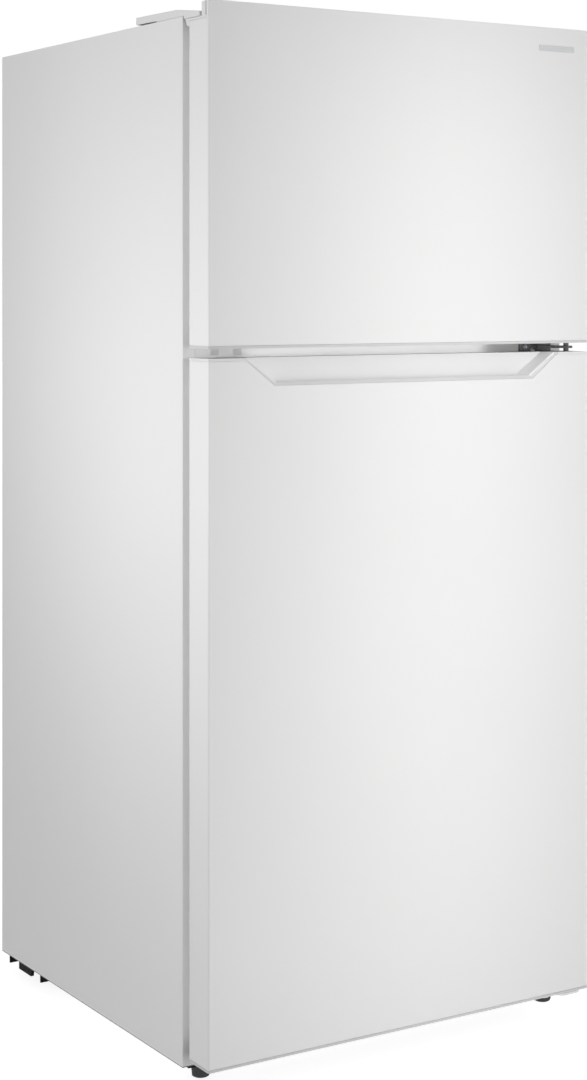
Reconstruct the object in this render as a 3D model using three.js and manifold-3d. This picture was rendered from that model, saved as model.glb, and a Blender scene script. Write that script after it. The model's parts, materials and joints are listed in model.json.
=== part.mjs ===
// Two-door refrigerator with the freezer above, as an assembly of separate pieces.
// Millimetres. Origin at the centre of the footprint on the floor: +X to the viewer's right,
// +Y to the back, +Z up; the doors face -Y. Everything is modelled with the doors closed.
import * as THREE from "three";
import { mergeVertices } from "three/addons/utils/BufferGeometryUtils.js";
import { ConvexGeometry } from "three/addons/geometries/ConvexGeometry.js";
import Module from "manifold-3d";

const wasm = await Module();
wasm.setup();

// ---- Overall sizes ----
const WIDTH = 749;
const DEPTH = 768;
const HEIGHT = 1680;
const GAP = 0.3;
const OVER = 1;

// ---- Cabinet ----
const SHEET = 1.2;
const CASE_HALF = WIDTH / 2;
const CASE_BOTTOM = 29;
const CASE_TOP = 1662;
const CASE_BACK = 376;
const FLANGE = 44;
const WINDOW_HALF = CASE_HALF - FLANGE;
const RAIL_HALF = 352.2;
const RAIL_LOW = 1098;
const RAIL_HIGH = 1181;
const RAIL_DEEP = 8;
const BASE_RAIL_LOW = 30;
const BASE_RAIL_HIGH = 100;
const BASE_RAIL_DEEP = 26;

// ---- Doors ----
const BADGE_PROUD = 0.8;
const DOOR_FRONT = -DEPTH / 2 + BADGE_PROUD;
const DOOR_THICK = 60;
const DOOR_BACK = DOOR_FRONT + DOOR_THICK;
const DOOR_HALF = 372.5;
const DOOR_ROUND = 3;
const DOOR_RETURN = 7;
const SEAL_GAP = 18;
const CASE_FRONT = DOOR_BACK + SEAL_GAP;
const CAP = 4;
const FRIDGE_DOOR_LOW = 44;
const FRIDGE_DOOR_HIGH = 1132;
const FREEZER_DOOR_LOW = 1147;
const FREEZER_SHELF_TOP = 1657;
const LINER_HALF = 348;
const DIKE_OUT = 300;
const DIKE_IN = 278;
const DIKE_DEEP = 82;
const BIN_HALF = 277.4;
const BIN_DEEP = 94;
const GASKET_HALF = 349.5;
const GASKET_WIDE = 18.5;

// ---- Hinge axis and pins ----
const AXIS_X = 350.5;
const AXIS_Y = -352;
const PIN = 4.6;
const BORE = 5.3;
const BOSS = 9;

// ---- Cavities ----
const LINER = 2;
const FREEZER_HALF = 314.5;
const FREEZER_FLOOR = 1187;
const FREEZER_CEILING = 1606;
const FRIDGE_HALF = 324.5;
const FRIDGE_FLOOR = 112;
const FRIDGE_CEILING = 1092;
const CAVITY_BACK = 316;
const STEP_Y = 140;
const STEP_Z = 314;
const LEDGE = 8;
const LEDGE_THICK = 6;

// ---- Foam body and machine compartment ----
const FOAM_BACK = 365.5;
const PLATE_Z = 60.4;
const MACHINE_Y = 188.6;
const MACHINE_TOP = 262;
const TRAY_Z = 44;
const ROLLER_X = 320;
const ROLLER_Y = 280;
const ROLLER_R = 20;

// ---- Feet ----
const FOOT_R = 15.5;
const FOOT_LEFT = [-327, -278];
const FOOT_RIGHT = [350, -287];
const FOOT_LEFT_HIGH = 19;
const FOOT_RIGHT_HIGH = 7;
const STEM = 4;
const FOOT_PLATE_LOW = 24.7;
const FOOT_PLATE_HIGH = CASE_BOTTOM - GAP;

// ---- Shelves, drawers and bins ----
const SHELF_FRONT = -200;
const FREEZER_SHELF_Z = 1391.3;
const SHELF_LEVELS = [560, 800];
const SHELF_FRAME = 12;
const COVER_Z = 318;
const CRISPER_FRONT = -212;
const CRISPER_BACK = 120;
const CRISPER_TOP = 300;
const CRISPER_OUT = 302;
const WALL = 2.5;

// ---- Pocket grip at the top of the lower door ----
const POCKET_TOP_HALF = 306.5;
const POCKET_LOW_HALF = 251.5;
const POCKET_Z = 1094;
const POCKET_DEEP = 26;
const POCKET_TAPER = 15;
const POCKET_CHAMFER = 5;
const POCKET_SHELL = 2.5;
const GROOVE_HALF = 225;
const GROOVE_NEAR = 9;
const GROOVE_FAR = 24;
const GROOVE_Z = 1078;

const group = new THREE.Group();
group.name = "top_freezer_refrigerator";

// ---- Materials, made once per finish; every mesh gets its own copy ----
const FINISH = {
  enamel: { color: 0xf2f2f0, roughness: 0.35, metalness: 0.0 },
  plastic: { color: 0xeeeeec, roughness: 0.45, metalness: 0.0 },
  liner: { color: 0xf6f6f4, roughness: 0.4, metalness: 0.0 },
  foam: { color: 0xe3d9b4, roughness: 0.95, metalness: 0.0 },
  steel: { color: 0xb9bcbf, roughness: 0.4, metalness: 0.8 },
  galvanised: { color: 0x9aa0a3, roughness: 0.5, metalness: 0.7 },
  black: { color: 0x222325, roughness: 0.5, metalness: 0.2 },
  rubber: { color: 0xe4e5e3, roughness: 0.8, metalness: 0.0 },
  clear: { color: 0xdfeaec, roughness: 0.15, metalness: 0.0 },
  dark: { color: 0x4a4c4f, roughness: 0.6, metalness: 0.0 },
  copper: { color: 0x2b2d2f, roughness: 0.45, metalness: 0.4 },
  badge: { color: 0xc4c6c8, roughness: 0.3, metalness: 0.6 },
};

// ---- Solid helpers ----
function solid(geometry) {
  const plain = geometry.clone();
  plain.deleteAttribute("normal");
  plain.deleteAttribute("uv");
  const merged = mergeVertices(plain, 1e-4);
  const vertProperties = new Float32Array(merged.attributes.position.array);
  const triVerts = new Uint32Array(merged.index.array);
  return new wasm.Manifold(new wasm.Mesh({ numProp: 3, vertProperties, triVerts }));
}

function geometryOf(manifold) {
  const mesh = manifold.getMesh();
  const geometry = new THREE.BufferGeometry();
  geometry.setAttribute("position", new THREE.BufferAttribute(new Float32Array(mesh.vertProperties), 3));
  geometry.setIndex(new THREE.BufferAttribute(new Uint32Array(mesh.triVerts), 1));
  geometry.computeVertexNormals();
  return geometry;
}

function add(name, finish, manifold) {
  const mesh = new THREE.Mesh(geometryOf(manifold), new THREE.MeshStandardMaterial(FINISH[finish]));
  mesh.name = name;
  mesh.material.name = `${finish}_${name}`;
  group.add(mesh);
}

function union(pieces) {
  return pieces.reduce((sum, piece) => sum.add(piece));
}

function cut(body, tools) {
  return tools.reduce((rest, tool) => rest.subtract(tool), body);
}

function block(x0, x1, y0, y1, z0, z1) {
  const box = new THREE.BoxGeometry(x1 - x0, y1 - y0, z1 - z0);
  box.translate((x0 + x1) / 2, (y0 + y1) / 2, (z0 + z1) / 2);
  return solid(box);
}

// The same block on both sides of the middle plane.
function pair(x0, x1, y0, y1, z0, z1) {
  return block(x0, x1, y0, y1, z0, z1).add(block(-x1, -x0, y0, y1, z0, z1));
}

function rodZ(x, y, z0, z1, low, high = low, sides = 20) {
  const rod = new THREE.CylinderGeometry(high, low, z1 - z0, sides);
  rod.rotateX(Math.PI / 2);
  rod.translate(x, y, (z0 + z1) / 2);
  return solid(rod);
}

function rodY(x, z, y0, y1, radius, sides = 20) {
  const rod = new THREE.CylinderGeometry(radius, radius, y1 - y0, sides);
  rod.translate(x, (y0 + y1) / 2, z);
  return solid(rod);
}

function rodX(y, z, x0, x1, radius, sides = 20) {
  const rod = new THREE.CylinderGeometry(radius, radius, x1 - x0, sides);
  rod.rotateZ(Math.PI / 2);
  rod.translate((x0 + x1) / 2, y, z);
  return solid(rod);
}

// A closed outline from [u, v] corners; a third number rounds that corner.
function outline(corners, steps = 6) {
  const points = [];
  corners.forEach(([u, v, radius = 0], i) => {
    const here = new THREE.Vector2(u, v);
    if (radius === 0) {
      points.push(here);
      return;
    }
    const before = new THREE.Vector2(...corners[(i + corners.length - 1) % corners.length].slice(0, 2));
    const after = new THREE.Vector2(...corners[(i + 1) % corners.length].slice(0, 2));
    const inward = before.sub(here).normalize();
    const outward = after.sub(here).normalize();
    const half = Math.acos(inward.dot(outward)) / 2;
    const middle = inward.clone().add(outward).normalize();
    const centre = here.clone().addScaledVector(middle, radius / Math.sin(half));
    const start = here.clone().addScaledVector(inward, radius / Math.tan(half)).sub(centre);
    const end = here.clone().addScaledVector(outward, radius / Math.tan(half)).sub(centre);
    const sweep = Math.atan2(start.cross(end), start.dot(end));
    for (let k = 0; k <= steps; k += 1) {
      points.push(start.clone().rotateAround(new THREE.Vector2(), (sweep * k) / steps).add(centre));
    }
  });
  return new THREE.Shape(points);
}

function extruded(shape, length) {
  return new THREE.ExtrudeGeometry(shape, { depth: length, bevelEnabled: false });
}

// Outline in (x, y) drawn up from z0 to z1.
function prismZ(corners, z0, z1, steps) {
  const geometry = extruded(outline(corners, steps), z1 - z0);
  geometry.translate(0, 0, z0);
  return solid(geometry);
}

// Outline in (y, z) drawn along x.
function prismX(corners, x0, x1, steps) {
  const geometry = extruded(outline(corners, steps), x1 - x0);
  const turn = new THREE.Matrix4().makeBasis(
    new THREE.Vector3(0, 1, 0),
    new THREE.Vector3(0, 0, 1),
    new THREE.Vector3(1, 0, 0),
  );
  geometry.applyMatrix4(turn);
  geometry.translate(x0, 0, 0);
  return solid(geometry);
}

// Outline in (x, z) drawn along y.
function prismY(corners, y0, y1, steps) {
  const geometry = extruded(outline(corners, steps), y1 - y0);
  const turn = new THREE.Matrix4().makeBasis(
    new THREE.Vector3(1, 0, 0),
    new THREE.Vector3(0, 0, 1),
    new THREE.Vector3(0, -1, 0),
  );
  geometry.applyMatrix4(turn);
  geometry.translate(0, y1, 0);
  return solid(geometry);
}

// A profile of [radius, height] turned about a vertical axis.
function turned(profile, x, y, sides) {
  const geometry = new THREE.LatheGeometry(profile.map(([r, z]) => new THREE.Vector2(r, z)), sides);
  geometry.rotateX(Math.PI / 2);
  geometry.translate(x, y, 0);
  return solid(geometry);
}

function hull(points) {
  return solid(new ConvexGeometry(points.map(([x, y, z]) => new THREE.Vector3(x, y, z))));
}

// A path through given points, sampled exactly at those points.
class Polyline extends THREE.Curve {
  constructor(points) {
    super();
    this.points = points;
  }

  getPoint(t, target = new THREE.Vector3()) {
    const along = t * (this.points.length - 1);
    const i = Math.min(Math.round(along), this.points.length - 1);
    return target.copy(this.points[i]);
  }

  getPointAt(t, target) {
    return this.getPoint(t, target);
  }

  getTangent(t, target = new THREE.Vector3()) {
    const i = Math.round(t * (this.points.length - 1));
    const before = this.points[Math.max(i - 1, 0)];
    const after = this.points[Math.min(i + 1, this.points.length - 1)];
    return target.copy(after).sub(before).normalize();
  }

  getTangentAt(t, target) {
    return this.getTangent(t, target);
  }
}

function tube(points, radius, sides) {
  const ring = new THREE.Shape();
  for (let k = 0; k < sides; k += 1) {
    const angle = (2 * Math.PI * k) / sides;
    ring[k === 0 ? "moveTo" : "lineTo"](radius * Math.cos(angle), radius * Math.sin(angle));
  }
  const path = new Polyline(points);
  const options = { steps: points.length - 1, bevelEnabled: false, extrudePath: path };
  return solid(new THREE.ExtrudeGeometry(ring, options));
}

// ---- Cabinet shell ----
function outerCase() {
  const inside = CASE_HALF - SHEET;
  const body = block(-CASE_HALF, CASE_HALF, CASE_FRONT, CASE_BACK, CASE_BOTTOM, CASE_TOP);
  const notch = RAIL_HALF + GAP;
  return cut(body, [
    block(-inside, inside, CASE_FRONT + SHEET, CASE_BACK + OVER, CASE_BOTTOM - OVER, CASE_TOP - SHEET),
    block(-WINDOW_HALF, WINDOW_HALF, CASE_FRONT - OVER, CASE_FRONT + 2, CASE_BOTTOM - OVER, CASE_TOP - FLANGE),
    block(-notch, notch, CASE_FRONT - OVER, CASE_FRONT + 2, RAIL_LOW - GAP, RAIL_HIGH + GAP),
  ]);
}

function fridgeHollow(grow) {
  const low = FRIDGE_FLOOR - grow;
  const front = CASE_FRONT - OVER;
  const side = FRIDGE_HALF + grow;
  const main = block(-side, side, front, STEP_Y + grow, low, FRIDGE_CEILING + grow);
  return main.add(block(-side, side, front, CAVITY_BACK + grow, STEP_Z - grow, FRIDGE_CEILING + grow));
}

function freezerHollow(grow) {
  const side = FREEZER_HALF + grow;
  const low = FREEZER_FLOOR - grow;
  const high = FREEZER_CEILING + grow;
  return block(-side, side, CASE_FRONT - OVER, CAVITY_BACK + grow, low, high);
}

function insulation() {
  const half = CASE_HALF - SHEET - GAP;
  const front = CASE_FRONT + LINER + GAP;
  const body = block(-half, half, front, FOAM_BACK, PLATE_Z + SHEET + GAP, CASE_TOP - SHEET - GAP);
  const rail = CASE_FRONT + RAIL_DEEP + GAP;
  const baseRail = CASE_FRONT + BASE_RAIL_DEEP + GAP;
  return cut(body, [
    freezerHollow(LINER + GAP),
    fridgeHollow(LINER + GAP),
    block(-half - OVER, half + OVER, MACHINE_Y - GAP, FOAM_BACK + OVER, 0, MACHINE_TOP + SHEET + GAP),
    block(-RAIL_HALF - GAP, RAIL_HALF + GAP, front - OVER, rail, RAIL_LOW - GAP, RAIL_HIGH + GAP),
    block(-half - OVER, half + OVER, front - OVER, baseRail, 0, BASE_RAIL_HIGH + GAP),
  ]);
}

// A moulded tub: the wall round a hollow, with a flat flange behind the front opening.
function tub(wall, hollow, flangeLow, flangeHigh, ledges) {
  const half = WINDOW_HALF - GAP;
  const flange = block(-half, half, CASE_FRONT, CASE_FRONT + LINER, flangeLow, flangeHigh);
  const infront = block(-CASE_HALF, CASE_HALF, CASE_FRONT - 50, CASE_FRONT, 0, HEIGHT);
  return union([wall.add(flange).subtract(hollow).subtract(infront), ...ledges]);
}

function sideLedge(half, y0, y1, top) {
  return [1, -1].map((side) => {
    const outer = side * (half + OVER);
    const inner = side * (half - LEDGE);
    return block(Math.min(outer, inner), Math.max(outer, inner), y0, y1, top - LEDGE_THICK, top);
  });
}

function freezerLiner() {
  const ledges = sideLedge(FREEZER_HALF, -190, 230, FREEZER_SHELF_Z - GAP);
  const low = RAIL_HIGH + GAP;
  return tub(freezerHollow(LINER), freezerHollow(0), low, CASE_TOP - FLANGE - GAP, ledges);
}

function fridgeLiner() {
  const levels = [...SHELF_LEVELS, COVER_Z];
  const ledges = levels.flatMap((z) => sideLedge(FRIDGE_HALF, -190, 135, z - GAP));
  return tub(fridgeHollow(LINER), fridgeHollow(0), BASE_RAIL_HIGH + GAP, RAIL_LOW - GAP, ledges);
}

const PLUG_SPOTS = [["mullion_plug_outer", -317.5], ["mullion_plug_inner", -276]];
const PLUG_Z = 1139.5;
const PLUG_STEM = 3.6;

function mullionRail() {
  const back = CASE_FRONT + RAIL_DEEP;
  const body = block(-RAIL_HALF, RAIL_HALF, CASE_FRONT, back, RAIL_LOW, RAIL_HIGH);
  const hollow = block(
    -RAIL_HALF - OVER, RAIL_HALF + OVER, CASE_FRONT + SHEET, back + OVER, RAIL_LOW + SHEET, RAIL_HIGH - SHEET,
  );
  const holes = PLUG_SPOTS.map(([, x]) => rodY(x, PLUG_Z, CASE_FRONT - OVER, back, PLUG_STEM + GAP, 12));
  return cut(body, [hollow, ...holes]);
}

function mullionPlug(x) {
  const corners = [
    [x - 7, PLUG_Z - 5, 1.5],
    [x + 7, PLUG_Z - 5, 1.5],
    [x + 7, PLUG_Z + 5, 1.5],
    [x - 7, PLUG_Z + 5, 1.5],
  ];
  const head = prismY(corners, CASE_FRONT - 1.3, CASE_FRONT - GAP, 3);
  return head.add(rodY(x, PLUG_Z, CASE_FRONT - 0.5, CASE_FRONT + 6, PLUG_STEM, 12));
}

function baseRail() {
  const half = WINDOW_HALF - GAP;
  const back = CASE_FRONT + BASE_RAIL_DEEP;
  const wall = 1.5;
  const body = block(-half, half, CASE_FRONT, back, BASE_RAIL_LOW, BASE_RAIL_HIGH);
  const low = BASE_RAIL_LOW + wall;
  const high = BASE_RAIL_HIGH - wall;
  return body.subtract(block(-half - OVER, half + OVER, CASE_FRONT + wall, back + OVER, low, high));
}

function basePlate() {
  const half = CASE_HALF - SHEET - GAP;
  const back = 365;
  const front = CASE_FRONT + BASE_RAIL_DEEP + GAP;
  const top = MACHINE_TOP + SHEET;
  return union([
    block(-half, half, front, MACHINE_Y + SHEET, PLATE_Z, PLATE_Z + SHEET),
    block(-half, half, MACHINE_Y, MACHINE_Y + SHEET, PLATE_Z, top),
    block(-half, half, MACHINE_Y, back, MACHINE_TOP, top),
  ]);
}

// ---- Back of the cabinet ----
function backPanel() {
  const half = CASE_HALF - SHEET - GAP;
  const front = CASE_BACK - SHEET;
  const panel = block(-half, half, front, CASE_BACK, 270, CASE_TOP - SHEET - GAP);
  const ribs = pair(200, 220, CASE_BACK - SHEET / 2, DEPTH / 2, 600, 1300);
  return panel.add(ribs);
}

function condenserCoil() {
  const runs = 9;
  const pitch = 120;
  const low = 330;
  const reach = 280;
  const bend = pitch / 2;
  const y = 370;
  const points = [new THREE.Vector3(-reach, y, low)];
  for (let run = 0; run < runs; run += 1) {
    const side = run % 2 === 0 ? 1 : -1;
    const z = low + run * pitch;
    points.push(new THREE.Vector3(side * reach, y, z));
    for (let k = 1; k < 6 && run < runs - 1; k += 1) {
      const angle = -Math.PI / 2 + (Math.PI * k) / 6;
      const x = side * (reach + bend * Math.cos(angle));
      points.push(new THREE.Vector3(x, y, z + bend + bend * Math.sin(angle)));
    }
    if (run < runs - 1) {
      points.push(new THREE.Vector3(side * reach, y, z + pitch));
    }
  }
  return tube(points, 3, 6);
}

const GLAND_X = 250;
const GLAND_Z = 90;

function compressorCover() {
  const half = CASE_HALF - SHEET - GAP;
  const low = 52;
  const high = 269.4;
  const panel = block(-half, half, CASE_BACK - SHEET, CASE_BACK, low, high);
  const rows = 6;
  const columns = 4;
  const tools = [rodY(GLAND_X, GLAND_Z, 370, 380, 8, 16)];
  for (let row = 0; row < rows; row += 1) {
    for (let column = 0; column < columns; column += 1) {
      const x = -300 + column * 120;
      const z = 104 + row * 24;
      tools.push(block(x, x + 90, 370, 380, z, z + 7));
    }
  }
  return cut(panel, tools);
}

function cordGland() {
  const head = rodY(GLAND_X, GLAND_Z, CASE_BACK + GAP, CASE_BACK + 5, 12, 16);
  const neck = rodY(GLAND_X, GLAND_Z, 371, CASE_BACK + 1, 7.6, 16);
  return head.add(neck).subtract(rodY(GLAND_X, GLAND_Z, 372.5, CASE_BACK + 6, 4, 16));
}

// ---- Machine compartment ----
const TRAY_HALF = 368;
const TRAY_THICK = 2;
const AXLE = 4;
const SKID_HALF = 372;
const SKID_LOW = 14.5;

// A tray with two cross flanges below, a skid at each end and ears for the roller axles.
function compressorBase() {
  const plateTop = TRAY_Z + TRAY_THICK;
  const skid = [[249, plateTop], [257, SKID_LOW], [308, SKID_LOW], [308, plateTop]];
  const pieces = [
    block(-TRAY_HALF, TRAY_HALF, 205, 368, TRAY_Z, plateTop),
    block(-SKID_HALF, SKID_HALF, 216, 219, SKID_LOW, TRAY_Z + 1),
    block(-SKID_HALF, SKID_HALF, 346, 349, SKID_LOW, TRAY_Z + 1),
    prismX(skid, -SKID_HALF, -SKID_HALF + 6),
    prismX(skid, SKID_HALF - 6, SKID_HALF),
  ];
  [-1, 1].forEach((side) => {
    [ROLLER_X - 15, ROLLER_X + 15].forEach((x) => {
      pieces.push(block(side * x - 1, side * x + 1, ROLLER_Y - 12, ROLLER_Y + 12, 12, TRAY_Z + 1));
    });
    pieces.push(rodX(ROLLER_Y, ROLLER_R, side * ROLLER_X - 17, side * ROLLER_X + 17, AXLE, 12));
  });
  return union(pieces);
}

function roller(side) {
  const wide = 11;
  const x = side * ROLLER_X;
  const tyre = rodX(ROLLER_Y, ROLLER_R, x - wide, x + wide, ROLLER_R, 28);
  return tyre.subtract(rodX(ROLLER_Y, ROLLER_R, x - wide - OVER, x + wide + OVER, AXLE + 0.5, 12));
}

function compressor() {
  const floor = TRAY_Z + TRAY_THICK + GAP;
  const profile = [
    [0, floor + 4], [52, floor + 4], [62, 62], [68, 74], [68, 118], [70, 119], [70, 124], [68, 125],
    [68, 165], [64, 187], [52, 203], [30, 212], [0, 215],
  ];
  const shell = turned(profile, -120, 283, 22);
  const feet = block(-195, -45, 235, 331, floor, floor + 5);
  const port = rodX(283, 150, -60, -42, 5, 10);
  return union([shell, feet, port]);
}

// An open-topped tray: walls of one thickness round a straight-sided hollow.
function openTray(x0, x1, y0, y1, z0, z1, wall) {
  const hollow = block(x0 + wall, x1 - wall, y0 + wall, y1 - wall, z0 + wall, z1 + OVER);
  return block(x0, x1, y0, y1, z0, z1).subtract(hollow);
}

function drainPan() {
  const floor = TRAY_Z + TRAY_THICK + GAP;
  return openTray(-20, 340, 218, 362, floor, floor + 48, WALL);
}

// ---- Feet and hinges ----
function levelingFoot([x, y], high, top) {
  const pad = rodZ(x, y, 0, high, FOOT_R - 1.5, FOOT_R, 24);
  return pad.add(rodZ(x, y, high - OVER, top, STEM, STEM, 12));
}

// The threaded hole of a foot, loose round its stem.
function stemHole([x, y]) {
  return rodZ(x, y, 0, PLATE_Z, STEM + 0.4, STEM + 0.4, 12);
}

function footBracketLeft() {
  const left = -362;
  const right = -308;
  const back = -255;
  const plate = block(left, right, CASE_FRONT + 3, back, FOOT_PLATE_LOW, FOOT_PLATE_HIGH);
  const leg = block(left, right, back - 3, back, FOOT_PLATE_LOW, PLATE_Z - GAP);
  return plate.add(leg).subtract(stemHole(FOOT_LEFT));
}

function topHinge() {
  const low = CASE_TOP + GAP;
  const high = low + 3;
  const corners = [
    [304, CASE_FRONT + 6, 6],
    [322, CASE_FRONT + 6],
    [340, AXIS_Y + 2],
    [346, AXIS_Y + 2],
    [346, CASE_FRONT + 75, 6],
    [304, CASE_FRONT + 75, 6],
  ];
  const plate = prismZ(corners, low, high, 4);
  const boss = rodZ(AXIS_X, AXIS_Y, low, high, 11, 11, 24);
  return union([plate, boss, rodZ(AXIS_X, AXIS_Y, 1635, low + OVER, PIN, PIN, 16)]);
}

const ARM_LOW = 1137.5;
const ARM_HIGH = 1141.5;

function middleHinge() {
  const face = CASE_FRONT - GAP;
  const plate = block(284, 352, face - 3, face, 1128, 1150);
  const corners = [[318, face], [339.5, AXIS_Y], [361.5, AXIS_Y], [361.5, -330], [352, face]];
  const arm = prismZ(corners, ARM_LOW, ARM_HIGH);
  const boss = rodZ(AXIS_X, AXIS_Y, ARM_LOW, ARM_HIGH, 11, 11, 24);
  const pin = rodZ(AXIS_X, AXIS_Y, 1108, 1170, PIN, PIN, 16);
  return union([plate, arm, boss, pin]);
}

// An arm with the lower pin in front of the cabinet, and a plate under it that holds a foot.
function bottomHinge() {
  const [footX, footY] = FOOT_RIGHT;
  const face = CASE_FRONT - GAP;
  const low = 34;
  const high = 38;
  const corners = [[310, -346, 6], [330, -370, 6], [369, -370, 10], [369, face], [310, face]];
  const arm = prismZ(corners, low, high, 4);
  const tab = block(310, 369, face - 3, face, FOOT_PLATE_LOW, 62);
  const plate = block(322, 369, face - OVER, -262, FOOT_PLATE_LOW, FOOT_PLATE_HIGH);
  const collar = rodZ(footX, footY, FOOT_RIGHT_HIGH + GAP, FOOT_PLATE_LOW + OVER, 13.5, 13.5, 24);
  const pin = rodZ(AXIS_X, AXIS_Y, low, 66, PIN, PIN, 16);
  return union([arm, tab, plate, collar, pin]).subtract(stemHole(FOOT_RIGHT));
}

const COVER_WALL = 2;
const COVER_REACH = 74.5;
const COVER_LOW = FREEZER_SHELF_TOP + GAP;
const COVER_FRONT = -358.5;

// Cover outline in (y, z): its front half rests on the cabinet, its tail stands a little clear,
// and its nose drops in front of the cabinet down to the shelf of the door.
function coverOutline(frontTop) {
  const lip = CASE_FRONT - 3;
  return [
    [lip, CASE_TOP + GAP],
    [lip, COVER_LOW],
    [COVER_FRONT, COVER_LOW],
    [COVER_FRONT, frontTop],
    [-285, 1674.2],
    [-150, 1676.6],
    [-150, CASE_TOP + 2.6],
    [-218, CASE_TOP + 1.6],
    [-219, CASE_TOP + GAP],
  ];
}

function coverInside(frontTop) {
  const wall = COVER_WALL;
  return [
    [COVER_FRONT + wall, COVER_LOW - OVER],
    [COVER_FRONT + wall, frontTop - wall],
    [-285, 1674.2 - wall],
    [-150 - wall, 1676.6 - wall],
    [-150 - wall, COVER_LOW - OVER],
  ];
}

function hingeCoverLeft() {
  const frontTop = 1664.8;
  const outer = prismX(coverOutline(frontTop), -CASE_HALF, -CASE_HALF + COVER_REACH);
  const inner = prismX(coverInside(frontTop), -CASE_HALF + COVER_WALL, -CASE_HALF + COVER_REACH - COVER_WALL);
  return outer.subtract(inner);
}

// The right cover is higher in front, over the hinge arm, cut back at its corner and given
// a round nose, clear of the turning door.
function hingeCoverRight() {
  const left = CASE_HALF - COVER_REACH;
  const right = CASE_HALF;
  const limit = 349;
  const back = -313.5;
  const frontTop = 1669;
  const outer = prismX(coverOutline(frontTop), left, right);
  const inner = prismX(coverInside(frontTop), left + COVER_WALL, right - COVER_WALL);
  const clear = block(limit, right + OVER, -400, back, 1600, 1700);
  const innerClear = block(limit - COVER_WALL, right + OVER, -400, back + COVER_WALL, 1600, 1700);
  const room = inner.subtract(innerClear);
  const nose = rodZ(AXIS_X, AXIS_Y, COVER_LOW, 1671, 15, 14.4, 24);
  const noseInside = rodZ(AXIS_X, AXIS_Y, COVER_LOW - OVER, 1669, 12.6, 12, 24);
  return cut(outer.subtract(clear).subtract(room).add(nose), [noseInside, room]);
}

// ---- Freezer interior ----
function evaporator() {
  const fins = 7;
  const pieces = [];
  for (let k = 0; k < fins; k += 1) {
    const x = -240 + (480 * k) / (fins - 1);
    pieces.push(block(x - 1, x + 1, 262, 312, 1230, 1440));
  }
  [1265, 1335, 1405].forEach((z) => pieces.push(rodX(287, z, -250, 250, 6, 6)));
  return union(pieces);
}

const FAN_Z = 1520;
const COVER_FACE = 246;
const KNOB_X = -215;
const FREEZER_KNOB_Z = 1330;

function evaporatorCover() {
  const half = FREEZER_HALF - GAP;
  const face = COVER_FACE;
  const panel = block(-half, half, face, face + 4, FREEZER_FLOOR + GAP, FREEZER_CEILING - GAP);
  const holes = [rodY(KNOB_X, FREEZER_KNOB_Z, face - OVER, face + 5, 5.4, 12)];
  for (let row = -3; row <= 3; row += 1) {
    const reach = Math.sqrt(48 ** 2 - (row * 13) ** 2);
    const z = FAN_Z + row * 13;
    holes.push(block(-reach, reach, face - OVER, face + 5, z - 3, z + 3));
  }
  for (let k = 0; k < 8; k += 1) {
    const x = -248 + k * 66;
    holes.push(block(x, x + 34, face - OVER, face + 5, 1200, 1207));
  }
  return cut(panel, holes);
}

function evaporatorFan() {
  const hub = rodY(0, FAN_Z, 262, 285, 16, 20);
  const blades = 5;
  const pieces = [hub];
  for (let k = 0; k < blades; k += 1) {
    const blade = new THREE.BoxGeometry(30, 2, 38);
    blade.rotateZ(0.5);
    blade.translate(0, 273.5, 31);
    blade.rotateY((2 * Math.PI * k) / blades);
    blade.translate(0, 0, FAN_Z);
    pieces.push(solid(blade));
  }
  return union(pieces);
}

// A round knob facing the front, with a grip bar and a stem through the panel behind it.
function frontKnob(x, z, face, radius, stemBack) {
  const disc = rodY(x, z, face - 8, face - GAP, radius, 24);
  const grip = block(x - 4, x + 4, face - 18, face - 7, z - radius + 2, z + radius - 2);
  return union([disc, grip, rodY(x, z, face - 1, stemBack, 5, 12)]);
}

// A wire shelf: long wires front to back, tied by cross wires underneath.
function freezerShelf() {
  const half = FREEZER_HALF - 1;
  const wires = 17;
  const wire = 4;
  const low = FREEZER_SHELF_Z;
  const back = 238;
  const pieces = [];
  for (let k = 0; k < wires; k += 1) {
    const x = -half + wire / 2 + ((2 * half - wire) * k) / (wires - 1);
    pieces.push(block(x - wire / 2, x + wire / 2, SHELF_FRONT, back, low + 3, low + 3 + wire));
  }
  [SHELF_FRONT, 15, back - wire].forEach((y) => {
    pieces.push(block(-half, half, y, y + wire, low, low + wire));
  });
  pieces.push(block(-half, half, SHELF_FRONT, SHELF_FRONT + wire, low, low + 12));
  return union(pieces);
}

// ---- Fresh food interior ----
function airDuct() {
  const front = 290;
  const back = CAVITY_BACK - GAP;
  const body = block(-90, 90, front, back, 420, 1060);
  const hollow = block(-87, 87, front + 3, back + OVER, 423, 1057);
  const slots = [520, 700, 860, 980].flatMap((z) => [
    block(-60, -20, front - OVER, front + 4, z, z + 8),
    block(20, 60, front - OVER, front + 4, z, z + 8),
  ]);
  return cut(body, [hollow, ...slots]);
}

const CONTROL_FRONT = -230;
const CONTROL_BACK = -60;
const CONTROL_HALF = 130;
const CONTROL_LOW = 1046;
const CONTROL_KNOB_X = 60;
const CONTROL_KNOB_Z = 1068;

function controlHousing() {
  const high = FRIDGE_CEILING - GAP;
  const corners = [
    [CONTROL_FRONT, CONTROL_LOW, 4],
    [CONTROL_BACK, CONTROL_LOW, 4],
    [CONTROL_BACK, high],
    [CONTROL_FRONT, high],
  ];
  const body = prismX(corners, -CONTROL_HALF, CONTROL_HALF, 3);
  const half = CONTROL_HALF - WALL;
  const inside = block(-half, half, CONTROL_FRONT + WALL, CONTROL_BACK - WALL, CONTROL_LOW + WALL, high + OVER);
  const window = block(-100, 10, -200, -90, CONTROL_LOW - OVER, CONTROL_LOW + 4);
  const hole = rodY(CONTROL_KNOB_X, CONTROL_KNOB_Z, CONTROL_FRONT - OVER, CONTROL_FRONT + 4, 5.4, 12);
  return cut(body, [inside, window, hole]);
}

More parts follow.
